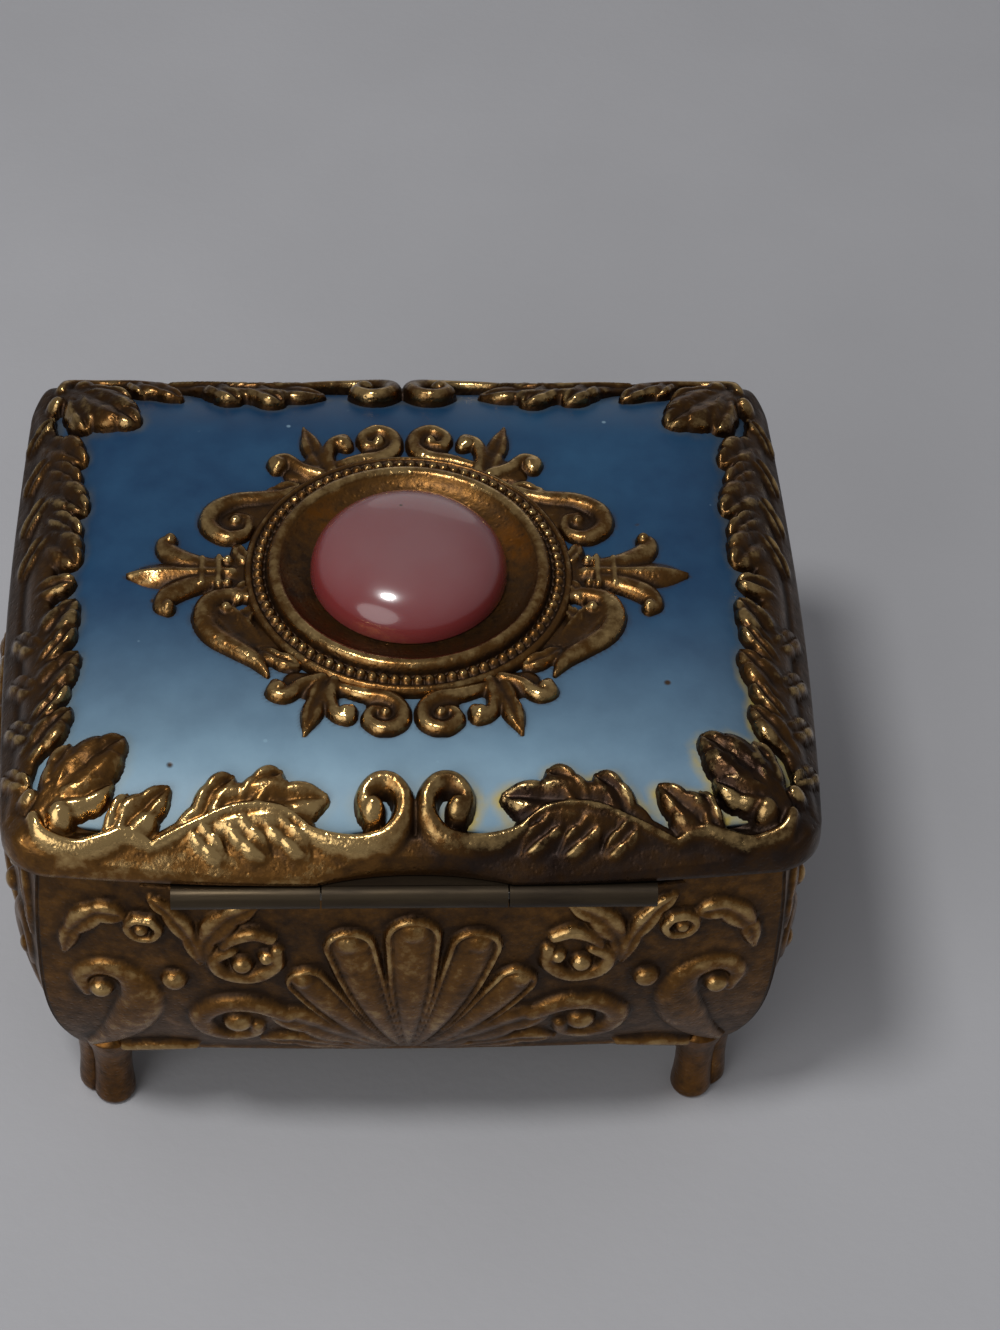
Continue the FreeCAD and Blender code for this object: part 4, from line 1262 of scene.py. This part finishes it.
class BOX_OT_stone(bpy.types.Operator):
    """Turns the domed stone"""

    bl_idname = "trinket_box.stone"
    bl_label = "Stone"

    def execute(self, context):
        base = CROWN_LEVEL - ENAMEL_DROP + DISH_FLOOR
        angle = math.pi / 2 * np.arange(STONE_BANDS) / STONE_BANDS
        radius = STONE_RADIUS * np.cos(angle) ** (2 / STONE_POWER)
        rise = np.maximum(STONE_HEIGHT * np.sin(angle) ** (2 / STONE_POWER), STONE_GIRDLE)
        foot = np.array(STONE_FOOT)
        radius = np.concatenate([foot[:, 0], radius])[:, None]
        rise = np.concatenate([foot[:, 1], rise])
        painted_shadow = 2 * math.pi * np.arange(STONE_TURNS) / STONE_TURNS
        x, y = radius * np.cos(painted_shadow), radius * np.sin(painted_shadow)
        points = np.stack([x, y + LID_MIDDLE_Y, base + rise[:, None] + 0 * x], axis=-1)
        casting = Casting()
        level = np.repeat(rise / STONE_HEIGHT, STONE_TURNS)
        casting.add(points.reshape(-1, 3), *capped_tube(points), relief=level)
        casting.make("stone", FINISHES["stone"], "lid", "stone", "cabochon")
        return {"FINISHED"}


class BOX_OT_panels(bpy.types.Operator):
    """Makes the four body panels with their relief and half-feet"""

    bl_idname = "trinket_box.panels"
    bl_label = "Body panels"

    def execute(self, context):
        height = context.scene.box_sizes.panel_height / MM
        for side in SIDES:
            casting = Casting()
            self.wall(casting, side, height)
            for end in (-1, 1):
                self.foot(casting, side, end)
            casting.make(side + "_wall", FINISHES["gilt"], "box", "gilt_metal", side + "_panel")
        return {"FINISHED"}

    def wall(self, casting, side, height):
        """Closed wall: relief outside, a ledge and a smooth face inside."""
        along_x = side in LONG_SIDES
        half_run = BODY_HALF_WIDTH if along_x else BODY_HALF_DEPTH
        across = np.linspace(-1, 1, LONG_COLUMNS if along_x else SHORT_COLUMNS)
        mouth = MOUTH_LEVEL
        if side == "back":
            step = NOTCH_HALF / (half_run - MOUTH_INSET - BELLY_BOW)
            extra = [sign * (step + shift) for sign in (-1, 1) for shift in (-NOTCH_STEP, NOTCH_STEP)]
            across = np.sort(np.concatenate([across, extra]))
            mouth = np.where(np.abs(across) < step, NOTCH_FLOOR, MOUTH_LEVEL)
        bottom = self.bottom_line(across, half_run)
        straight = NOTCH_FLOOR - NOTCH_LIP
        level = np.concatenate([
            bottom + np.linspace(0, 1, PANEL_ROWS)[:, None] * (straight - bottom),
            straight + np.linspace(1 / LIP_ROWS, 1, LIP_ROWS)[:, None] * (mouth - straight + 0 * across),
        ])
        base = panel_point(side, across + 0 * level, level, 0.0)
        normal = np.cross(np.gradient(base, axis=1), np.gradient(base, axis=0))
        normal /= np.linalg.norm(normal, axis=2, keepdims=True)
        place = base[..., 0] if along_x else base[..., 1] - LID_MIDDLE_Y
        stretch = BODY_HALF_WIDTH / half_run
        relief = panel_relief(place * stretch, level, height if along_x else SIDE_SHARE * height)
        lip = BOTTOM_LIP * np.exp(-(((level - bottom - BOTTOM_LIP_RISE) / BOTTOM_LIP_WIDTH) ** 2))
        fade = ramp(1 - np.abs(across), 0, SEAM_FADE) * ramp(MOUTH_LEVEL - level, 0, MOUTH_FADE)
        relief = np.maximum(relief, lip) * fade
        hollow = hollow_mark(relief, *PANEL_HOLLOW)
        hollow[:, [0, 1, -2, -1]] = 0.0
        outer = base + normal * relief[..., None]
        for column in (0, -1):
            seam_level = level[:, column]
            outer[:, column] = panel_point(side, across[column] + 0 * seam_level, seam_level, SEAM_GROOVE)
        down = np.linspace(1, 0, INNER_ROWS)[:, None]
        inner_level = LEDGE_LEVEL + down * (mouth - LEDGE_LEVEL + 0 * across)
        inner = panel_point(side, across + 0 * inner_level, inner_level, PANEL_WALL)
        ledge_level = np.full((1, len(across)), LEDGE_LEVEL)
        ledge = panel_point(side, across + 0 * ledge_level, ledge_level, PANEL_WALL + LEDGE_WIDTH)
        under = ledge.copy()
        under[0, :, 2] = bottom
        points = np.concatenate([outer, inner, ledge, under])
        rows, columns = points.shape[:2]
        faces, flat = grid_faces(rows, columns, True, False)
        first = list(range(0, rows * columns, columns))
        last = [index + columns - 1 for index in first[::-1]]
        flat = (flat * (1.0, 0.85) + (0.0, 0.02)).tolist()
        flat += [cap_flat(points[:, 0, 1:]), cap_flat(points[::-1, -1, 1:])]
        inside = np.zeros((rows - len(outer), columns))
        lifted = GROUND_MARK + RELIEF_MARK * np.clip(relief / height, 0, 1)
        casting.add(points.reshape(-1, 3), faces.tolist() + [first, last], flat,
                    relief=np.concatenate([lifted, inside]).ravel(),
                    hollow=np.concatenate([hollow, inside + INSIDE_HOLLOW]).ravel())

    def bottom_line(self, across, half_run):
        """Level of a panel's lower edge: a low arch between two brackets."""
        seam = half_run - BOTTOM_INSET - BOTTOM_BOW
        shoulder = seam - FOOT_REACH - BRACKET_RADIUS
        run = np.abs(across) * seam
        arch = FOOT_HEIGHT + ARCH_RISE * np.clip(1 - (run / shoulder) ** 2, 0, 1)
        past = np.clip(run - shoulder, 0, BRACKET_RADIUS)
        return arch - BRACKET_RADIUS + np.sqrt(BRACKET_RADIUS**2 - past**2)

    def foot(self, casting, side, end):
        """One round lobe beside the seam, flattened where it meets its neighbour."""
        inset = BOTTOM_INSET + BOTTOM_BOW
        seam_x, seam_y = BODY_HALF_WIDTH - inset, BODY_HALF_DEPTH - inset
        along_x = side in LONG_SIDES
        dx, dy = (FOOT_ALONG, FOOT_INWARD) if along_x else (FOOT_INWARD, FOOT_ALONG)
        corners = np.arange(len(FOOT_SECTION))
        rows = np.linspace(0, corners[-1], FOOT_ROWS)
        level, radius = (np.interp(rows, corners, values)[:, None] for values in np.array(FOOT_SECTION).T)
        angle = 2 * math.pi * np.arange(FOOT_SEGMENTS) / FOOT_SEGMENTS
        x = seam_x - dx + radius * np.cos(angle)
        y = seam_y - dy + radius * np.sin(angle)
        past = (x - seam_x) - (y - seam_y)
        over = np.clip(past if along_x else -past, 0, None) / 2
        x, y = (x - over, y + over) if along_x else (x + over, y - over)
        sign_x, sign_y = {"back": (-end, 1), "front": (end, -1), "right": (1, end), "left": (-1, -end)}[side]
        points = np.stack([sign_x * x, sign_y * y + LID_MIDDLE_Y, level + 0 * x], axis=-1)
        faces, flat = capped_tube(points, (0.4, 0.1), (0.5 * (end > 0), 0.88), sign_x * sign_y < 0)
        groove = np.where(over > 0, 0.0, FOOT_HOLLOW)
        casting.add(points.reshape(-1, 3), faces, flat, relief=FOOT_MARK, hollow=groove.ravel(),
                    stain=FOOT_RUST)


class BOX_OT_velvet(bpy.types.Operator):
    """Makes the velvet linings and pads"""

    bl_idname = "trinket_box.velvet"
    bl_label = "Velvet"

    def execute(self, context):
        for side in SIDES:
            self.lining(side)
        self.floor_pad()
        self.lid_pad()
        return {"FINISHED"}

    def pad(self, points, name, body, node):
        """Soft pad from its rings."""
        casting = Casting()
        casting.add(points.reshape(-1, 3), *capped_tube(points))
        piece = casting.make(name, FINISHES["velvet"], body, "velvet", node)

    def lining(self, side):
        """Velvet over card: a soft face with rolled edges."""
        rows, columns = LINING_GRID
        across = np.linspace(-1, 1, columns)
        level = np.linspace(FLOOR_LEVEL, LINING_TOP, rows)[:, None] + 0 * across
        to_end = (1 - np.abs(across)) * LINING_HALF_RUN
        edge = np.minimum(np.minimum(level - FLOOR_LEVEL, LINING_TOP - level), to_end) / LINING_ROLL
        wave_up, wave_along = LINING_WAVES
        wave = LINING_WAVE * np.sin(level * wave_up + wave_along * across) * np.clip(edge, 0, 1)
        depth = LINING_OUTER + LINING_EDGE + (LINING_THICK - LINING_SLACK) * rounded(edge) + wave
        card = panel_point(side, across + 0 * level, level, LINING_OUTER, False)
        face = panel_point(side, across + 0 * level, level, depth, False)
        faces, flat = grid_faces(rows, columns, False, False)
        casting = Casting()
        casting.add(np.concatenate([card.reshape(-1, 3), face.reshape(-1, 3)]),
                    *thick_sheet(faces, flat, rows * columns, (0.5, 0.95), (0.0, 0.0)))
        piece = casting.make(side + "_velvet", FINISHES["velvet"], "box", "velvet", side + "_lining")

    def floor_pad(self):
        """Crowned pad on the bottom plate."""
        corner = panel_point("back", np.array([-1.0]), np.array([FLOOR_LEVEL]), PAD_SHRINK, False)[0]
        half_x, half_y = corner[0], corner[1] - LID_MIDDLE_Y
        rings = [self.round_box(half_x - PAD_DRAW_IN, half_y - PAD_DRAW_IN, PAD_CORNER, FLOOR_LEVEL)]
        wave_x, wave_y = PAD_WAVES
        for inset in np.linspace(0, PAD_REACH * half_y, PAD_ROWS):
            radius = min(PAD_CORNER, PAD_CORNER_SHARE * (half_y - inset))
            level = FLOOR_LEVEL + PAD_EDGE + (PAD_THICK - PAD_SLACK) * rounded(inset / PAD_ROLL)
            ring = self.round_box(half_x - inset, half_y - inset, radius, level)
            ring[:, 2] += PAD_WAVE * np.sin(ring[:, 0] * wave_x) * np.sin(ring[:, 1] * wave_y)
            rings.append(ring)
        self.pad(np.stack(rings), "floor_cushion", "box", "floor_pad")

    def round_box(self, half_x, half_y, radius, level):
        """Ring of a rounded rectangle."""
        angle = np.linspace(0, math.pi / 2, ROUND_STEPS)
        x = half_x - radius + radius * np.cos(angle)
        y = half_y - radius + radius * np.sin(angle)
        quarter = np.stack([x, y], 1)
        ring = np.vstack([quarter, quarter[::-1] * (-1, 1), quarter * (-1, -1), quarter[::-1] * (1, -1)])
        return np.column_stack([ring + (0, LID_MIDDLE_Y), np.full(len(ring), level)])

    def lid_pad(self):
        """Pad in the hollow of the lid, its soft face down."""
        rings = []
        for inset in LID_PAD_BACK:
            ring = lid_ring(inset, LID_PAD_THIN)
            level = np.minimum(crown(ring[:, 0], ring[:, 1]) - POCKET_DROP - LID_PAD_GAP, LID_PAD_TOP)
            rings.append(np.column_stack([ring + (0, LID_MIDDLE_Y), level]))
        wave_x, wave_y = LID_PAD_WAVES
        for run in np.linspace(0, LID_PAD_RUN, LID_PAD_ROWS):
            ring = lid_ring(LID_PAD_INSET + run, LID_PAD_THIN)
            wave = PAD_WAVE * (1 + np.sin(ring[:, 0] * wave_x) * np.cos(ring[:, 1] * wave_y))
            level = LID_PAD_LEVEL + LID_PAD_EDGE * (1 - rounded(run / LID_PAD_ROLL)) + wave
            rings.append(np.column_stack([ring + (0, LID_MIDDLE_Y), level]))
        self.pad(np.stack(rings)[:, ::-1], "lid_cushion", "lid", "lid_pad")


class BOX_OT_hinge(bpy.types.Operator):
    """Gives the hinge, its pin and the bottom plate their finishes"""

    bl_idname = "trinket_box.hinge"
    bl_label = "Hinge and bottom plate"

    def execute(self, context):
        finishes = {
            "hinge_body_leaf": FINISHES["hinge"],
            "hinge_lid_leaf": FINISHES["hinge"],
            "hinge_pin": FINISHES["pin"],
            "bottom_plate": FINISHES["sheet"],
        }
        for node, finish in finishes.items():
            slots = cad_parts[node].material_slots
            if not slots:
                raise RuntimeError("no material slot on " + node)
            for slot in slots:
                slot.material = finish
        return {"FINISHED"}


class BOX_PT_panel(bpy.types.Panel):
    """Sidebar panel with the sizes, the colours and the pieces"""

    bl_idname = "BOX_PT_panel"
    bl_label = "Trinket Box"
    bl_space_type = "VIEW_3D"
    bl_region_type = "UI"
    bl_category = "Trinket Box"

    def draw(self, context):
        layout = self.layout
        for group in (context.scene.box_sizes, context.scene.box_colours):
            for name in group.__annotations__:
                layout.prop(group, name)
        for operator in OPERATORS:
            layout.operator(operator.bl_idname)


FINISHES = {}
OPERATORS = (
    BOX_OT_stage, BOX_OT_lid, BOX_OT_enamel, BOX_OT_medallion, BOX_OT_stone, BOX_OT_panels, BOX_OT_velvet,
    BOX_OT_hinge,
)
CLASSES = (BoxSizes, BoxColours, *OPERATORS, BOX_PT_panel)


def register():
    for item in CLASSES:
        bpy.utils.register_class(item)
    bpy.types.Scene.box_sizes = bpy.props.PointerProperty(type=BoxSizes)
    bpy.types.Scene.box_colours = bpy.props.PointerProperty(type=BoxColours)


def unregister():
    del bpy.types.Scene.box_colours
    del bpy.types.Scene.box_sizes
    for item in reversed(CLASSES):
        bpy.utils.unregister_class(item)


def mix_finishes(colours):
    """Makes each finish once, for all the pieces that share it."""
    FINISHES["floor"] = floor_finish(colours)
    FINISHES["gilt"] = gilt_finish(colours)
    FINISHES["enamel"] = enamel_finish(colours)
    FINISHES["stone"] = stone_finish(colours)
    FINISHES["velvet"] = velvet_finish(colours)
    for key, name, bright, body, streak in PLAIN_METALS:
        FINISHES[key] = plain_metal_finish(name, bright, body, (streak, 1.0, 1.0))


def main():
    register()
    mix_finishes(bpy.context.scene.box_colours)
    bpy.ops.trinket_box.stage()
    bpy.ops.trinket_box.lid()
    bpy.ops.trinket_box.enamel()
    bpy.ops.trinket_box.medallion()
    bpy.ops.trinket_box.stone()
    bpy.ops.trinket_box.panels()
    bpy.ops.trinket_box.velvet()
    bpy.ops.trinket_box.hinge()


if __name__ == "__main__":
    main()
